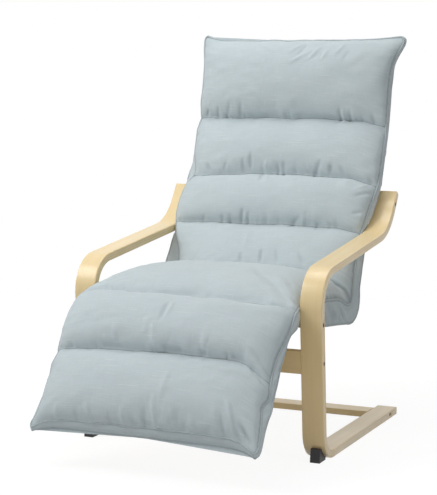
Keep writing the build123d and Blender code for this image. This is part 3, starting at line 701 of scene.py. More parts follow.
def placeOf(row, x, height, shift=0.0):
    y = rowOrigin[row, 0] + rowNormal[row, 0] * height + rowAhead[row, 0] * shift
    z = rowOrigin[row, 1] + rowNormal[row, 1] * height + rowAhead[row, 1] * shift
    return (x, y, z)


def wobble(kind, a, b, side=1):
    fineA, fineB, layer, size = cushion["wobbles"][kind]
    return noise.noise(Vector((a * fineA, b * fineB, layer * side))) * size


def buildShell():
    # Front face, boxing strips and end strips as one open shell, and the larger shape its cloth
    # was cut to: wider than the seams that it is gathered into
    verts, cut, faces, pinned = [], [], [], []
    rows = cushion["boxRows"]

    def add(place, wide, held):
        verts.append(place)
        cut.append((place[0] * wide, place[1], place[2]))
        pinned.append(held)
        return len(verts) - 1

    front = np.zeros((rowCount, columns), int)
    for row, at in enumerate(rowAt):
        isSeam = row in seamRows
        for column, share in enumerate(acrossShare):
            side = sideOf(share)
            x = share * rowWidth[side][row] + side * earPull(row, share)[0]
            height = frontHeight(row, share)
            shift = frontShift(row, share)
            atEdge = column in (0, lastColumn)
            if not atEdge:
                if not isSeam:
                    height += wobble("small", x, at)
                    height += wobble("large", x, at)
                if 0 < row < lastRow:
                    shift += wobble("alongLarge", x, at) + wobble("alongSmall", x, at)
                else:
                    shift += wobble("atEnds", x, at)
            place = placeOf(row, x, height, shift)
            front[row, column] = add(place, 1 + cushion["growAcross"], atEdge or isSeam)
    boxes = {}
    for side in (-1, 1):
        grid = np.zeros((rowCount, rows + 1), int)
        grid[:, 0] = front[:, 0 if side < 0 else lastColumn]
        for row, at in enumerate(rowAt):
            outX, outAlong = earPull(row, float(side))
            frontX = rowWidth[side][row] + outX
            rearX = rowRearWidth[row] + outX
            top = rowSeam[side][row] + cushion["restHeight"]
            low = rowRearSeam[row]
            skirt = skirtShare(top - low)
            drawn = frontShift(row, float(side))
            for k in range(1, rows + 1):
                share = k / rows
                bow = math.sin(math.pi * share)
                pleat = wobble("pleat", at, share, side) * skirt * bow
                belly = cushion["boxBelly"] * bow * (1 - skirt)
                x = frontX + (rearX - frontX) * share + belly + pleat
                tuck = wobble("tuck", at, share, side) * share * (1 - skirt)
                along = drawn + (outAlong - drawn) * share
                place = placeOf(row, side * x, top + (low - top) * share + tuck, along)
                grid[row, k] = add(place, 1.0, k == rows)
        boxes[side] = grid
    caps = {}
    for name, row, away in (("top", 0, -1), ("foot", lastRow, 1)):
        grid = np.zeros((rows + 1, columns), int)
        grid[0] = front[row]
        for side, column in ((-1, 0), (1, lastColumn)):
            grid[:, column] = boxes[side][row]
        for column in range(1, columns - 1):
            share = acrossShare[column]
            side = sideOf(share)
            outX, outAlong = earPull(row, share)
            high, drawn = frontHeight(row, share), frontShift(row, share)
            low = rowRearSeam[row]
            frontX = share * rowWidth[side][row] + side * outX
            rearX = share * rowRearWidth[row] + side * outX
            for k in range(1, rows + 1):
                down = k / rows
                belly = away * cushion["endBelly"] * math.sin(math.pi * down)
                along = drawn + (outAlong - drawn) * down + belly
                x = frontX + (rearX - frontX) * down
                place = placeOf(row, x, high + (low - high) * down, along)
                grid[k, column] = add(place, 1 + cushion["growAcross"] * 0.5, k == rows)
        caps[name] = grid
    patches = {"front": (front, True), "right": (boxes[1], True), "left": (boxes[-1], False),
               "top": (caps["top"], False), "foot": (caps["foot"], True)}
    ranges = {}
    for name, (grid, flip) in patches.items():
        begin = len(faces)
        for a in range(grid.shape[0] - 1):
            for b in range(grid.shape[1] - 1):
                corners = (grid[a, b], grid[a, b + 1], grid[a + 1, b + 1], grid[a + 1, b])
                face = [int(v) for v in corners]
                faces.append(face[::-1] if flip else face)
        ranges[name] = (begin, len(faces))
    return np.array(verts), np.array(cut), faces, np.array(pinned), front, boxes, caps, ranges


(shellVerts, cutVerts, shellFaces, shellPinned, frontGrid, boxGrids, capGrids,
 faceRanges) = buildShell()
print("cushion shell", len(shellVerts), "points")

clothFeel = {
    "quality": 5,
    "mass": 0.3,
    "tension_stiffness": 25,
    "compression_stiffness": 25,
    "shear_stiffness": 8,
    "bending_stiffness": 0.15,
    "tension_damping": 8,
    "compression_damping": 8,
    "air_damping": 1.5,
}


def sewAndFill(verts, faces, pinned, cut):
    # Cloth held along its seams, cut larger than they are, and filled until it puffs and gathers
    mesh = bpy.data.meshes.new("cushionCloth")
    mesh.from_pydata([tuple(v) for v in verts], [], faces)
    piece = addObject("cushionCloth", mesh)
    held = [i for i, isHeld in enumerate(pinned) if isHeld]
    piece.vertex_groups.new(name="sewn").add(held, 1.0, "REPLACE")
    piece.shape_key_add(name="Basis")
    key = piece.shape_key_add(name="cut")
    key.data.foreach_set("co", cut.astype(np.float32).ravel())
    key.value = 0.0
    cloth = piece.modifiers.new("cloth", "CLOTH")
    settings = cloth.settings
    for name, value in clothFeel.items():
        setattr(settings, name, value)
    settings.vertex_group_mass = "sewn"
    settings.rest_shape_key = key
    settings.use_pressure = True
    settings.uniform_pressure_force = cushion["pressure"]
    settings.use_pressure_volume = True
    settings.target_volume = 0.0
    settings.effector_weights.gravity = 0.0
    cloth.collision_settings.use_collision = False
    cloth.point_cache.frame_start = 1
    cloth.point_cache.frame_end = cushion["frames"] + 5
    for step in range(1, cushion["frames"] + 1):
        scene.frame_set(step)
    result = np.zeros(len(verts) * 3)
    evaluated(piece).data.vertices.foreach_get("co", result)
    scene.frame_set(1)
    bpy.data.objects.remove(piece)
    moved = result.reshape(-1, 3) - verts
    far = np.linalg.norm(moved, axis=1)
    print("cloth moved", round(float(far.mean()), 4), "at most", round(float(far.max()), 4))
    held = np.where(far > cushion["reach"], cushion["reach"] / np.maximum(far, 1e-9), 1.0)
    return verts + moved * held[:, None]


sewnVerts = sewAndFill(shellVerts, shellFaces, shellPinned, cutVerts)
print("cushion filled")


def besideFrames(spots, chunk=2000):
    # Beside the side frames the boxing stays clear of the wood
    wide = np.flatnonzero(np.abs(spots[:, 0]) > cushion["besideFrame"] - 0.001)
    line = stripLine[::3, 1:3]
    for start in range(0, len(wide), chunk):
        part = wide[start:start + chunk]
        gap = np.sqrt(((spots[part][:, None, 1:3] - line[None]) ** 2).sum(2).min(1))
        limit = cushion["besideFrame"] + np.maximum(0.0, gap - cushion["besideReach"])
        spots[part, 0] = np.clip(spots[part, 0], -limit, limit)
    return spots


cloth = {
    "thread": (0.495, 0.570, 0.598, 1),
    "lightThread": (0.590, 0.662, 0.685, 1),
    "slub": (0.74, 0.795, 0.81, 1),
    "shade": (0.46, 0.535, 0.565, 1),
    # The next colour is painted shade in the grooves of the folds
    "foldShade": (0.27, 0.33, 0.355, 1),
    # The next colour is painted shade along the sewn seams
    "seam": (0.13, 0.165, 0.185, 1),
    "weftStretch": (26.0, 1100.0, 300.0),
    "warpStretch": (900.0, 30.0, 300.0),
    "slubStretch": (14.0, 420.0, 300.0),
    "cloudScale": 9.0,
    "slubStrength": 0.55,
    "cloudStrength": 0.18,
    # How strong the painted shade in the fold grooves is
    "foldShadeStrength": 0.38,
    # How strong the painted shade along the seams is
    "seamShadeStrength": 0.66,
    "roughness": 0.92,
    "sheen": 0.25,
    "sheenRoughness": 0.5,
    "gloss": 0.25,
    "bumpStrength": 0.35,
    "bumpDepth": 0.0008,
    "pipingTone": 0.84,
}


def makeWeaveGroup(look):
    # Slubby plain weave: X across the cloth, Y along it
    group, t, given, result = newGroup(
        "slubWeave",
        [
            ("Place", "NodeSocketVector", None),
            ("Thread", "NodeSocketColor", look["thread"]),
            ("Light Thread", "NodeSocketColor", look["lightThread"]),
            ("Slub", "NodeSocketColor", look["slub"]),
            ("Shade", "NodeSocketColor", look["shade"]),
        ],
        [("Color", "NodeSocketColor"), ("Height", "NodeSocketFloat")],
    )
    place = given["Place"]
    weft = t.noise(t.stretch(place, look["weftStretch"]), 1.0, 2.0)
    warp = t.noise(t.stretch(place, look["warpStretch"]), 1.0, 2.0)
    slubs = t.span(t.noise(t.stretch(place, look["slubStretch"]), 1.0, 3.0), 0.60, 0.72)
    cloudy = t.span(t.noise(place, look["cloudScale"], 3.0), 0.35, 0.7)
    threads = t.plus(t.times(t.span(weft, 0.3, 0.7), 0.55), t.times(t.span(warp, 0.3, 0.7), 0.45))
    base = t.mixColor(threads, given["Thread"], given["Light Thread"])
    base = t.mixColor(t.times(slubs, look["slubStrength"]), base, given["Slub"])
    base = t.mixColor(t.times(cloudy, look["cloudStrength"]), base, given["Shade"])
    t.put(base, result["Color"])
    t.put(t.plus(t.times(threads, 0.5), t.times(slubs, 0.8)), result["Height"])
    return group


weaveGroup = makeWeaveGroup(cloth)


def clothMaterialOf(name, onCover):
    # On the cover the weave follows the cloth's own coordinates, on the narrow piping the object's
    material, t, shader = newMaterial(name)
    place = t.node("ShaderNodeUVMap", uv_map="cloth").outputs[0] if onCover else t.objectPlace()
    weave = t.node("ShaderNodeGroup", {
        "Place": place, "Thread": cloth["thread"], "Light Thread": cloth["lightThread"],
        "Slub": cloth["slub"], "Shade": cloth["shade"],
    }, node_tree=weaveGroup).outputs
    base = weave["Color"]
    if onCover:
        edge = t.node("ShaderNodeAttribute", attribute_name="seamGap").outputs["Fac"]
        foldShade = t.node("ShaderNodeAttribute", attribute_name="foldShadeMask").outputs["Fac"]
        # Painted shade in the grooves of the folds
        base = t.mixColor(t.times(foldShade, cloth["foldShadeStrength"]), base, cloth["foldShade"])
        # Painted shade along the seams, darkest at the seam line and patchy along it
        patchy = t.span(t.noise(place, 70.0, 1.0), 0.3, 0.6, 0.55, 1.0)
        depth = t.times(t.span(edge, 0.0006, 0.0042, cloth["seamShadeStrength"], 0.0), patchy)
        base = t.mixColor(depth, base, cloth["seam"])
    else:
        tone = cloth["pipingTone"]
        base = t.mixColor(1.0, base, (tone, tone, tone, 1), blend="MULTIPLY")
    bump = t.node("ShaderNodeBump", {"Height": weave["Height"], "Strength": cloth["bumpStrength"],
                                     "Distance": cloth["bumpDepth"]})
    feed(t, shader, Base_Color=base, Roughness=cloth["roughness"], Normal=bump.outputs[0],
         Sheen_Weight=cloth["sheen"], Sheen_Roughness=cloth["sheenRoughness"],
         Specular_IOR_Level=cloth["gloss"])
    return material


clothMaterial = clothMaterialOf("slubCloth", onCover=True)
pipingMaterial = clothMaterialOf("pipingCloth", onCover=False)


folds = {
    "pleatSize": 0.016,
    "pleatStretch": 0.07,
    "pleatDrift": 0.007,
    "clusterSize": 0.075,
    "spreadSize": 0.035,
    "farthest": 0.09,
    "upReach": 0.026,
    "downReach": 0.012,
    # Gathers above and below each cross seam, in the order of the seams
    "above": [0.0, 0.0050, 0.0054, 0.0050, 0.0, 0.0026, 0.0050, 0.0044],
    "below": [0.0016, 0.0020, 0.0024, 0.0020, 0.0, 0.0016, 0.0024, 0.0],
    "beside": 0.0022,
    "besideReach": 0.024,
    "rumple": 0.0012,
    "swell": 0.0016,
    "placedGain": 1.35,
    # Distances over which folds fade in from a seam, a side edge and beside it, and the swells
    "seamFade": 0.004,
    "edgeFade": 0.006,
    "besideFade": 0.005,
    "placedFade": 0.004,
    "heldBand": 0.016,
    # A fold gets painted shade in its groove from this depth on, fully when deeper by the second
    "frontShadeDepths": (0.0003, 0.0040),
    "sideShadeDepths": (0.0004, 0.0045),
    # Waves along the boxing: size along, shift by side, size across, seed, height
    "sideWaves": [(0.017, 9, 1.1, 401, 0.0016), (0.045, 5, 1.3, 402, 0.0020)],
    "sidePleatHeight": 0.0075,
    "sidePleatSize": 0.021,
    "sidePleatLean": 0.045,
    # Single folds: across and along at both ends, height, half width, in the parts of 1 m below
    "placed": [
        (-219, 1674, -214, 1718, 22, 5), (-139, 1660, -120, 1718, 26, 5),
        (-43, 1674, -38, 1718, 26, 5), (31, 1639, 46, 1718, 32, 5), (48, 1572, 50, 1639, 20, 6),
        (129, 1674, 143, 1718, 24, 5), (212, 1626, 239, 1691, 36, 5),
        (183, 1639, 195, 1701, 16, 7), (250, 1667, 279, 1701, -36, 5),
        (239, 1682, 254, 1718, -26, 4), (-166, 1682, -164, 1718, -16, 5),
        (-80, 1682, -75, 1718, -16, 5), (13, 1667, 13, 1718, -18, 6),
        (96, 1667, 98, 1718, -18, 6), (204, 1660, 215, 1718, -22, 4),
        (239, 1496, 282, 1496, 24, 4), (259, 1516, 278, 1523, -26, 4),
        (262, 1459, 280, 1467, -20, 4), (214, 1496, 240, 1516, 18, 4),
        (-126, 1426, -118, 1476, 18, 6), (-44, 1401, -44, 1445, 15, 6),
        (-25, 1420, -12, 1496, 20, 5), (-13, 1352, -13, 1407, -22, 5), (0, 1345, 0, 1394, 18, 5),
        (109, 1433, 122, 1476, 15, 6), (225, 1445, 262, 1459, -16, 6), (25, 25, -6, 59, 18, 5),
        (56, 59, 0, 94, 20, 5), (81, 43, 56, 87, 22, 5), (106, 51, 93, 87, 16, 4),
        (150, 25, 131, 66, 18, 5), (-112, 25, -56, 59, 16, 5), (37, 34, 19, 73, -16, 4),
        (75, 73, 50, 94, -14, 4), (168, 51, 156, 87, -12, 5), (-179, 215, -194, 268, -26, 5),
        (-142, 215, -152, 268, -26, 5), (-216, 222, -225, 268, -24, 4),
        (-252, 230, -261, 268, -26, 4), (167, 230, 166, 282, 36, 4), (155, 222, 154, 282, -26, 4),
        (186, 230, 179, 282, -22, 4), (248, 230, 253, 268, -22, 5), (-83, 409, -80, 452, -34, 5),
        (-105, 422, -103, 452, -24, 4), (19, 429, 19, 483, -30, 4), (0, 436, 0, 483, -22, 4),
        (126, 422, 107, 483, -34, 5), (158, 429, 158, 452, -34, 5), (183, 429, 196, 452, -22, 5),
        (-156, 429, -161, 452, -24, 4), (-220, 429, -206, 452, -24, 5),
        (-35, 429, -34, 452, 20, 4), (-46, 469, -37, 517, -22, 4), (-23, 483, -18, 517, 16, 4),
        (-68, 612, -72, 658, -32, 4), (-49, 620, -54, 658, -24, 4),
        (-128, 629, -132, 658, -24, 4), (-104, 629, -108, 670, -22, 4),
        (96, 629, 71, 670, -30, 5), (114, 629, 101, 670, 18, 4), (149, 639, 149, 678, -20, 4),
        (-183, 629, -193, 658, -22, 4), (247, 539, 281, 509, -22, 4),
        (248, 597, 274, 575, -18, 4), (243, 517, 270, 483, 14, 4), (24, 773, 30, 810, -30, 4),
        (-31, 787, -26, 812, -22, 5), (66, 773, 79, 810, -18, 5), (-34, 716, -26, 766, 14, 6),
        (132, 773, 151, 805, -18, 5), (102, 1087, 168, 1171, -12, 7),
    ],
    "placedUnits": (1000, 1000, 1000, 1000, 10000, 1000),
}


def softNoise(a, b, seed, cells=64):
    # Smooth noise between -1 and 1 on a seeded grid
    grid = np.random.default_rng(seed).uniform(-1, 1, (cells, cells))
    ai, bi = np.floor(a).astype(int), np.floor(b).astype(int)
    fa, fb = a - ai, b - bi
    fa, fb = fa * fa * (3 - 2 * fa), fb * fb * (3 - 2 * fb)
    a0, b0, a1, b1 = ai % cells, bi % cells, (ai + 1) % cells, (bi + 1) % cells
    low = grid[a0, b0] * (1 - fa) + grid[a1, b0] * fa
    high = grid[a0, b1] * (1 - fa) + grid[a1, b1] * fa
    return low * (1 - fb) + high * fb


def pleats(along, away, size, seed):
    # Soft valleys that run away from a seam and wander a little
    drift = softNoise(along / 0.05, away / 0.03, seed + 1) * folds["pleatDrift"]
    wave = softNoise((along + drift) / size, away / folds["pleatStretch"], seed)
    return 0.40 - np.exp(-(wave / 0.36) ** 2)


def placedFolds(x, s):
    height = np.zeros_like(x)
    for x0, s0, x1, s1, size, wide in np.array(folds["placed"]) / folds["placedUnits"]:
        dx, ds = x1 - x0, s1 - s0
        share = np.clip(((x - x0) * dx + (s - s0) * ds) / (dx * dx + ds * ds), 0, 1)
        off = np.hypot(x - x0 - share * dx, s - s0 - share * ds)
        height += size * np.exp(-(off / wide / 1.2) ** 2) * (1 - 0.6 * np.abs(2 * share - 1) ** 3)
    return height * folds["placedGain"]


def coverFolds(x, s, width, seamS):
    # Height of the small folds on the front face, from the place across and along the cloth
    height = np.zeros_like(x)
    for index, place in enumerate(seamS):
        gathered = softNoise(x / folds["clusterSize"], x * 0, 40 + index)
        cluster = 0.25 + 0.75 * softStep((gathered + 0.45) / 0.9)
        reaching = softNoise(x / folds["spreadSize"], x * 0, 60 + index)
        spread = 0.65 + 0.7 * softStep((reaching + 0.6) / 1.2)
        for away, size, reach, seed in (
            (place - s, folds["above"][index], folds["upReach"], 100 + index * 7),
            (s - place, folds["below"][index], folds["downReach"], 200 + index * 7),
        ):
            inside = (away > 0) & (away < folds["farthest"])
            fade = np.exp(-(np.maximum(away, 0) / (reach * spread)) ** 1.5)
            fade = fade * (1 - np.exp(-(away / folds["seamFade"]) ** 2))
            folded = size * cluster * fade * pleats(x, away, folds["pleatSize"], seed)
            height += np.where(inside, folded, 0.0)
    edge = np.maximum(width - np.abs(x), 0.0)
    height *= 1 - np.exp(-(edge / folds["edgeFade"]) ** 2)
    nearest = np.minimum.reduce([np.abs(s - place) for place in seamS] + [edge])
    held = softStep(nearest / folds["heldBand"])
    sideSeed = np.where(x > 0, 7.3, 31.9)
    fade = np.exp(-(edge / folds["besideReach"]) ** 1.4)
    fade = fade * (1 - np.exp(-(edge / folds["besideFade"]) ** 2))
    height += folds["beside"] * fade * (softNoise(s / 0.012 + sideSeed, edge / 0.04, 301) * 0.8
                                        + softNoise(s / 0.03 + sideSeed, edge / 0.05, 302) * 0.8)
    height += softStep(edge / folds["placedFade"]) * placedFolds(x, s)
    broad = folds["rumple"] * softNoise(x / 0.030 + s * 5, s / 0.022, 303) * 0.5
    broad += folds["swell"] * softNoise(x / 0.085, s / 0.065, 304)
    return height, held * broad


# A point's place on the cloth: across, along, and 1 on the front, 2 on boxing, 3 behind
lay = {
    "front": 1.0,
    "boxing": 2.0,
    "rear": 3.0,
    "boxStart": 0.6,
    "boxRange": 0.1,
    "endHalf": 0.29,
    "endOffset": 0.5,
    "mostOnFront": 1.02,
    "boxingLimits": (1.6, 2.02),
    "leastOnBoxing": 1.98,
    "leastAcrossBox": 0.55,
}


def layPoints(verts, along):
    place = np.zeros((len(verts), 3))
    for row in range(rowCount):
        for column, share in enumerate(acrossShare):
            width = rowWidth[sideOf(share)][row]
            place[frontGrid[row, column]] = (share * width, along[row], lay["front"])
    for side in (-1, 1):
        for row in range(rowCount):
            for k, i in enumerate(boxGrids[side][row][1:], start=1):
                across = lay["boxStart"] + lay["boxRange"] * k / cushion["boxRows"]
                place[i] = (side * across, along[row], lay["boxing"])
    for name, row, away in (("top", 0, -1), ("foot", -1, 1)):
        for line in capGrids[name][1:]:
            for column, i in enumerate(line[1:-1], start=1):
                down = along[row] + away * lay["endOffset"]
                place[i] = (acrossShare[column] * lay["endHalf"], down, lay["boxing"])
    return place


def finishCushion(verts):
    # The filled shell with a rear face, its own cloth coordinates, and crisp seams
    work = bmesh.new()
    uvLayer = work.loops.layers.uv.new("cloth")
    lieLayer = work.verts.layers.float_vector.new("lie")
    creaseLayer = work.edges.layers.float.new("crease_edge")
    points = [work.verts.new(v) for v in verts]
    along = np.zeros(rowCount)
    middle = columns // 2
    for row in range(1, rowCount):
        step = verts[frontGrid[row, middle]] - verts[frontGrid[row - 1, middle]]
        along[row] = along[row - 1] + np.linalg.norm(step)
    place = layPoints(verts, along)
    for point, value in zip(points, place):
        point[lieLayer] = value

    def addPatch(name, uvOf):
        begin, end = faceRanges[name]
        for face in shellFaces[begin:end]:
            made = work.faces.new([points[i] for i in face])
            made.smooth = True
            for loop, i in zip(made.loops, face):
                loop[uvLayer].uv = uvOf[i]

    addPatch("front", {int(i): (place[i][0], -place[i][1]) for i in frontGrid.ravel()})
    for side, name in ((1, "right"), (-1, "left")):
        addPatch(name, {int(i): (side * (0.9 + 0.006 * k), -along[row])
                        for row in range(rowCount) for k, i in enumerate(boxGrids[side][row])})
    for name in ("top", "foot"):
        addPatch(name, {int(i): (acrossShare[column] * lay["endHalf"], 2.0 + 0.004 * k)
                        for k, line in enumerate(capGrids[name]) for column, i in enumerate(line)})
    # Rear face: turned in behind the seam, then flat on the slats
    flatShares = np.linspace(1, -1, rearFace["flatPoints"])
    rests = readKeys(rearFace["rest"], rowAt)
    previous = None
    for row in range(rowCount):
        seam = rowRearSeam[row]
        skirt = min(1.0, max(0.0, (rearFace["skirtRange"] - seam) / rearFace["skirtRange"]))
        turned = rowRearWidth[row] - rearFace["turnIn"]
        flat = rowRearWidth[row] - rearFace["flatInset"] + rearFace["skirtOut"] * skirt
        inner = (seam + rearFace["lift"]) * skirt + (seam + rests[row]) / 2 * (1 - skirt)
        behind = [work.verts.new(placeOf(row, turned, inner))]
        behind += [work.verts.new(placeOf(row, share * flat, rests[row])) for share in flatShares]
        behind.append(work.verts.new(placeOf(row, -turned, inner)))
        for point in behind:
            point[lieLayer] = (0.0, along[row], lay["rear"])
        ring = [points[int(boxGrids[1][row][-1])]] + behind + [points[int(boxGrids[-1][row][-1])]]
        if previous:
            for a in range(len(ring) - 1):
                made = work.faces.new((previous[a], previous[a + 1], ring[a + 1], ring[a]))
                made.smooth = True
                for loop in made.loops:
                    down = along[row if loop.vert in ring else row - 1]
                    loop[uvLayer].uv = (loop.vert.co.x + 2.0, -down)
        previous = ring
        if row in (0, lastRow):
            bottom = [points[int(i)] for i in capGrids["top" if row == 0 else "foot"][-1]][::-1]
            fan = [ring[0]] + bottom[1:-1] + [ring[-1]] + behind[::-1]
            made = work.faces.new(fan if row == 0 else fan[::-1])
            for loop in made.loops:
                loop[uvLayer].uv = (loop.vert.co.x + 2.0, 1.0)
    chains = [frontGrid[row] for row in seamRows] + [frontGrid[:, 0], frontGrid[:, lastColumn]]
    chains += [boxGrids[-1][:, -1], boxGrids[1][:, -1], capGrids["top"][-1], capGrids["foot"][-1]]
    for chain in chains:
        for a, b in zip(chain, chain[1:]):
            edge = work.edges.get((points[int(a)], points[int(b)]))
            if edge:
                edge[creaseLayer] = 0.9
    # Where the two piped edges run, as numbers of the subdivided points: corners, then edges
    work.edges.index_update()
    pipeLines = {}
    for name, sides, foot, top in (
        ("pipingFront", (frontGrid[:, 0], frontGrid[:, lastColumn]),
         frontGrid[lastRow], frontGrid[0]),
        ("pipingRear", (boxGrids[-1][:, -1], boxGrids[1][:, -1]),
         capGrids["foot"][-1], capGrids["top"][-1]),
    ):
        loop = [int(i) for i in (*sides[0][:-1], *foot[:-1], *sides[1][:0:-1], *top[:0:-1])]
        pipeLines[name] = []
        for a, b in zip(loop, loop[1:] + loop[:1]):
            pipeLines[name] += [a, len(work.verts) + work.edges.get((points[a], points[b])).index]
    mesh = bpy.data.meshes.new("coverDraft")
    work.to_mesh(mesh)
    work.free()
    draft = addObject("coverDraft", mesh)
    smooth = draft.modifiers.new("smooth", "SUBSURF")
    smooth.levels = smooth.render_levels = 1
    smooth.boundary_smooth = "PRESERVE_CORNERS"
    fine = bpy.data.meshes.new_from_object(evaluated(draft))
    bpy.data.objects.remove(draft)
    return fine, along, pipeLines


def foldCover(mesh, along):
    # Small folds on the subdivided cover, how far each point is from a seam, and painted shade masks
    count = len(mesh.vertices)
    spots, lie, out = np.zeros(count * 3), np.zeros(count * 3), np.zeros(count * 3)
    mesh.vertices.foreach_get("co", spots)
    mesh.vertices.foreach_get("normal", out)
    mesh.attributes["lie"].data.foreach_get("vector", lie)
    spots, lie, out = spots.reshape(-1, 3), lie.reshape(-1, 3), out.reshape(-1, 3)
    x, s, part = lie[:, 0], lie[:, 1], lie[:, 2]
    place = np.interp(s, along, rowAt)
    width = np.where(x > 0, readKeys(cushion["rightWidth"], place),
                     readKeys(cushion["leftWidth"], place))
    seamS = [along[row] for row in seamRows]
    onFront = part < lay["mostOnFront"]
    pinched, broad = coverFolds(x, s, width, seamS)
    height = np.where(onFront, pinched + broad, 0.0)
    low, high = lay["boxingLimits"]
    onSide = (part > low) & (part < high) & (np.abs(x) > lay["leastAcrossBox"])
    across = np.clip((np.abs(x) - lay["boxStart"]) / lay["boxRange"], 0, 1)
    small, large = (softNoise(s / size + np.sign(x) * shift, across * over, seed) * high
                    for size, shift, over, seed, high in folds["sideWaves"])
    sideShape = np.sin(np.pi * across) * (small + large)
    top = cushion["restHeight"] + np.interp(place, rowAt, rowSeam[1])
    skirt = skirtShare(top - np.interp(place, rowAt, rowRearSeam))
    lean = s + across * folds["sidePleatLean"]
    wave = softNoise(lean / folds["sidePleatSize"] + np.sign(x) * 3, across * 0.9 + lean / 0.2, 403)
    bow = folds["sidePleatHeight"] * skirt * np.sin(np.pi * across) ** 0.7
    sidePleats = bow * (0.35 - np.exp(-(wave / 0.42) ** 2))
    height += np.where(onSide, sideShape + sidePleats, 0.0)
    spots = besideFrames(spots + out * height[:, None])
    mesh.vertices.foreach_set("co", spots.ravel())
    # The painted seam shade follows seamGap. The seam at the seat's corner lies flat, so it is drawn
    # wider than the pinched ones
    cornerSeam, cornerSpread, seamSpread = 4, 0.35, 1.5
    farFromSeam, boxEdgeGap = 0.02, 0.004
    seamGap = np.minimum.reduce([np.abs(s - value) * (cornerSpread if k == cornerSeam else seamSpread)
                                 for k, value in enumerate(seamS)])
    seamGap = np.minimum(seamGap, np.maximum(width - np.abs(x), 0.0))
    seamGap = np.where(onFront, seamGap, farFromSeam)
    # Where the front meets the boxing, the painted seam shade runs along that edge too
    boxGap = np.clip(part - lay["front"], 0, 1) * boxEdgeGap
    atBoxEdge = (part >= lay["mostOnFront"]) & (part < lay["leastOnBoxing"])
    seamGap = np.where(atBoxEdge, boxGap, seamGap)
    # Mask of painted shade in the fold grooves: the deeper the groove, the darker
    shallow, deep = folds["frontShadeDepths"]
    foldShade = np.where(onFront, np.clip(-(pinched + shallow) / deep, 0, 1), 0.0)
    shallow, deep = folds["sideShadeDepths"]
    foldShade = np.where(onSide, np.clip(-(sidePleats + shallow) / deep, 0, 1), foldShade)
    for name, values in (("seamGap", seamGap), ("foldShadeMask", foldShade)):
        attribute = mesh.attributes.new(name, "FLOAT", "POINT")
        attribute.data.foreach_set("value", values.astype(np.float32))
    mesh.update()


piping = {
    "Radius": 0.0026,
    "Sides": 7,
    "Seed": 3,
    "Unevenness": 0.0002,
}


def makePipingTree():
    # A cord round a sewn edge: mesh line, curve, round profile
    tree = bpy.data.node_groups.new("edgePiping", "GeometryNodeTree")
    sockets = tree.interface
    sockets.new_socket(name="Geometry", in_out="INPUT", socket_type="NodeSocketGeometry")
    for label, value in piping.items():
        kind = "NodeSocketInt" if isinstance(value, int) else "NodeSocketFloat"
        sockets.new_socket(name=label, in_out="INPUT", socket_type=kind).default_value = value
    sockets.new_socket(name="Cloth", in_out="INPUT", socket_type="NodeSocketMaterial")
    sockets.new_socket(name="Geometry", in_out="OUTPUT", socket_type="NodeSocketGeometry")
    t = Tree(tree)
    given = t.node("NodeGroupInput").outputs
    line = t.node("GeometryNodeMeshToCurve", {"Mesh": given["Geometry"]}).outputs[0]
    spot = t.node("GeometryNodeInputPosition").outputs[0]
    rough = t.node("ShaderNodeTexNoise", {"Vector": spot, "W": given["Seed"], "Scale": 60.0},
                   noise_dimensions="4D").outputs["Color"]
    middle = t.node("ShaderNodeVectorMath", {0: rough, 1: (0.5, 0.5, 0.5)},
                    operation="SUBTRACT").outputs[0]
    drift = t.node("ShaderNodeVectorMath", {0: middle, "Scale": given["Unevenness"]},
                   operation="SCALE").outputs[0]
    moved = t.node("GeometryNodeSetPosition", {"Geometry": line, "Offset": drift}).outputs[0]
    profile = t.node("GeometryNodeCurvePrimitiveCircle",
                     {"Resolution": given["Sides"], "Radius": given["Radius"]}).outputs[0]
    tube = t.node("GeometryNodeCurveToMesh", {"Curve": moved, "Profile Curve": profile}).outputs[0]
    smooth = t.node("GeometryNodeSetShadeSmooth", {0: tube}).outputs[0]
    whole = t.node("GeometryNodeRealizeInstances", {"Geometry": smooth}).outputs[0]
    colored = t.node("GeometryNodeSetMaterial",
                     {"Geometry": whole, "Material": given["Cloth"]}).outputs[0]
    t.put(colored, t.node("NodeGroupOutput").inputs[0])
    return tree


pipingTree = makePipingTree()


def makePiping(name, points):
    line = bpy.data.meshes.new(name)
    count = len(points)
    line.from_pydata([tuple(p) for p in points], [(i, (i + 1) % count) for i in range(count)], [])
    guide = addObject(name + "Guide", line)
    nodesStep = guide.modifiers.new("piping", "NODES")
    nodesStep.node_group = pipingTree
    for item in pipingTree.interface.items_tree:
        if item.in_out == "INPUT" and item.name == "Cloth":
            nodesStep[item.identifier] = pipingMaterial
    mesh = bpy.data.meshes.new_from_object(evaluated(guide))
    bpy.data.objects.remove(guide)
    mesh.name = name
    return addObject(name, mesh)


def placeCover(piece):
    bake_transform(piece)


coverMesh, coverAlong, pipeLines = finishCushion(sewnVerts)
foldCover(coverMesh, coverAlong)
coverMesh.materials.append(clothMaterial)
longCushion = addObject("longCushion", coverMesh)
for name, line in pipeLines.items():
    cord = makePiping(name, [coverMesh.vertices[i].co[:] for i in line])
    placeCover(cord)
    print(name, len(cord.data.polygons))
placeCover(longCushion)
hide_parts("back_cushion", "seat_cushion", "leg_rest_cushion")
print("cushion ready", len(coverMesh.vertices))


# CAD nodes that stay, with their finishes

def makeSpeckGroup():
    # Fine specks over broader patches, for moulded and metal surfaces
    group, t, given, result = newGroup(
        "fineSpecks",
        [("Place", "NodeSocketVector", None), ("Speck Scale", "NodeSocketFloat", 900.0)],
        [("Shade", "NodeSocketFloat"), ("Height", "NodeSocketFloat")],
    )
    speck = t.noise(given["Place"], given["Speck Scale"], 4.0)
    patch = t.noise(given["Place"], t.math("DIVIDE", given["Speck Scale"], 20.0), 2.0)
    t.put(t.plus(t.times(speck, 0.5), t.times(patch, 0.5)), result["Shade"])
    t.put(speck, result["Height"])
    return group


speckGroup = makeSpeckGroup()


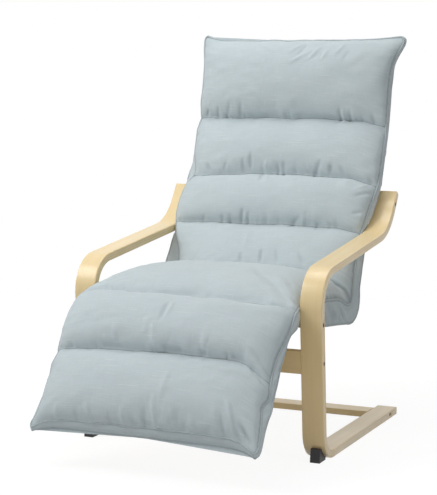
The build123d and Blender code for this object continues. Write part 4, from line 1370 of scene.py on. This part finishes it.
def plainMaterial(name, color, roughness, metallic, speckScale, spread):
    material, t, shader = newMaterial(name)
    specks = t.node("ShaderNodeGroup", {"Place": t.objectPlace(), "Speck Scale": speckScale},
                    node_tree=speckGroup).outputs
    dark = tuple(c * (1 - spread) for c in color)
    light = tuple(min(1.0, c * (1 + spread)) for c in color)
    base = t.mixColor(t.span(specks["Shade"], 0.35, 0.65), (*dark, 1), (*light, 1))
    rough = t.span(specks["Shade"], 0.3, 0.7, roughness * 0.88, min(1.0, roughness * 1.12))
    bump = t.node("ShaderNodeBump",
                  {"Height": specks["Height"], "Strength": 0.3, "Distance": 0.0002})
    feed(t, shader, Base_Color=base, Roughness=rough, Metallic=metallic, Normal=bump.outputs[0])
    return material


# Colour, roughness, metallic, scale of the specks, spread of the colour
plainFinishes = {
    "footPlastic": ((0.012, 0.012, 0.013), 0.55, 0.0, 900.0, 0.12),
    "boltBlack": ((0.02, 0.02, 0.02), 0.38, 0.6, 1500.0, 0.12),
    "spacerPlastic": ((0.016, 0.016, 0.017), 0.5, 0.0, 900.0, 0.12),
    "hingeSteel": ((0.50, 0.50, 0.51), 0.36, 1.0, 700.0, 0.08),
    "zincScrew": ((0.60, 0.56, 0.46), 0.34, 1.0, 1200.0, 0.08),
    "brassThread": ((0.62, 0.45, 0.18), 0.3, 1.0, 1200.0, 0.12),
    "nylonWasher": ((0.75, 0.74, 0.70), 0.45, 0.0, 600.0, 0.04),
}
finishes = {name: plainMaterial(name, *look) for name, look in plainFinishes.items()}
restDrop = 51.0  # degrees that the leg rest hangs below level
finishes["birchRest"] = birchMaterial("birchRest", turn=(math.radians(-restDrop), 0.0, 0.0),
                                      plyStrength=0.0)
finishes["dowelBeech"] = birchMaterial("dowelBeech", turn=(0.0, 0.0, math.pi / 2), plyStrength=0.0)
finishes["birchCross"] = birchCross

finishOf = {
    "foot_left": "footPlastic", "foot_right": "footPlastic",
    "frame_bolts": "boltBlack", "rail_bolts": "boltBlack", "frame_spacers": "spacerPlastic",
    "hinge_nuts": "hingeSteel", "hinge_pins": "hingeSteel", "nut_washers": "hingeSteel",
    "rail_inserts": "brassThread", "barrel_nuts": "brassThread", "rail_dowels": "dowelBeech",
    "front_leg_rail": "birchCross", "rear_floor_rail": "birchCross",
    "leg_rest_rail_left": "birchRest", "leg_rest_rail_right": "birchRest",
}
for name, node in nodes.items():
    if node.hide_render:
        continue
    if name in finishOf:
        finish = finishOf[name]
    elif "_slat_" in name and "screws" not in name:
        finish = "birchCross"
    elif name.startswith("hinge_"):
        finish = "hingeSteel"
    elif name.startswith("friction_washer"):
        finish = "nylonWasher"
    else:
        finish = "zincScrew"
    node.data.materials.clear()
    node.data.materials.append(finishes[finish])
print("finishes on CAD nodes")


# Studio

studio = {
    "world": 0.17,
    "floorHalf": 30.0,
    "fade": (1.2, 3.4),  # where the floor begins and ends its fade into the background
    "shownTone": 0.16,
    "glow": (0.90, 1.0),
    "aim": (0.0, 0.0, 0.5),
    "lamps": [
        ("keyLight", 45.0, 1.5, (-1.7, -1.6, 2.6)),
        ("topLight", 29.0, 1.6, (-0.2, 0.3, 3.3)),
        ("lowLight", 14.0, 2.0, (0.9, -3.3, 0.9)),
        ("leftLight", 11.0, 1.6, (-2.6, -0.6, 1.8)),
        ("rightLight", 10.0, 1.6, (2.6, -0.8, 1.6)),
        ("rearLight", 14.0, 1.6, (0.8, 2.2, 2.6)),
    ],
}


def seenRays(t):
    # 1 where the camera looks straight, by a reflection or through glass
    path = t.node("ShaderNodeLightPath").outputs
    seen = t.math("MAXIMUM", path["Is Camera Ray"], path["Is Glossy Ray"])
    return t.math("MAXIMUM", seen, path["Is Transmission Ray"])


def makeFloor(setup):
    # The camera sees a pale floor that fades into the white background
    material = bpy.data.materials.new("studioFloor")
    t = emptyTree(material)
    away = t.node("ShaderNodeVectorMath", {0: t.objectPlace()}, operation="LENGTH").outputs["Value"]
    shade = t.span(away, *setup["fade"], setup["shownTone"], 0.0)
    tone = t.node("ShaderNodeCombineColor",
                  {"Red": shade, "Green": shade, "Blue": shade}).outputs[0]
    diffuse = t.node("ShaderNodeBsdfDiffuse",
                     {"Color": (0.7, 0.7, 0.7, 1), "Roughness": 1.0}).outputs[0]
    shown = t.node("ShaderNodeBsdfDiffuse", {"Color": tone, "Roughness": 1.0}).outputs[0]
    strength = t.span(away, *setup["fade"], *setup["glow"])
    glow = t.node("ShaderNodeEmission", {"Color": (1, 1, 1, 1), "Strength": strength}).outputs[0]
    both = t.node("ShaderNodeAddShader", {0: shown, 1: glow}).outputs[0]
    mixed = t.node("ShaderNodeMixShader", {0: seenRays(t), 1: diffuse, 2: both}).outputs[0]
    t.put(mixed, t.node("ShaderNodeOutputMaterial").inputs["Surface"])
    mesh = bpy.data.meshes.new("studioFloor")
    far = setup["floorHalf"]
    corners = [(-far, -far, 0), (far, -far, 0), (far, far, 0), (-far, far, 0)]
    mesh.from_pydata(corners, [], [(0, 1, 2, 3)])
    mesh.materials.append(material)
    floor = addObject("studioFloor", mesh)


def makeWorld(setup):
    world = bpy.data.worlds.new("studioWorld")
    scene.world = world
    t = emptyTree(world)
    ambient = t.node("ShaderNodeBackground",
                     {"Color": (1, 1, 1, 1), "Strength": setup["world"]}).outputs[0]
    white = t.node("ShaderNodeBackground", {"Color": (1, 1, 1, 1), "Strength": 1.0}).outputs[0]
    mixed = t.node("ShaderNodeMixShader", {0: seenRays(t), 1: ambient, 2: white}).outputs[0]
    t.put(mixed, t.node("ShaderNodeOutputWorld").inputs["Surface"])


def makeLamps(setup):
    for name, power, size, place in setup["lamps"]:
        data = bpy.data.lights.new(name, "AREA")
        data.energy = power
        data.size = size
        lamp = addObject(name, data)
        lamp.location = place
        lamp.rotation_mode = "QUATERNION"
        away = Vector(place) - Vector(setup["aim"])
        lamp.rotation_quaternion = away.to_track_quat("Z", "Y")


makeFloor(studio)
makeWorld(studio)
makeLamps(studio)
scene.view_settings.view_transform = "Standard"
print("studio ready")
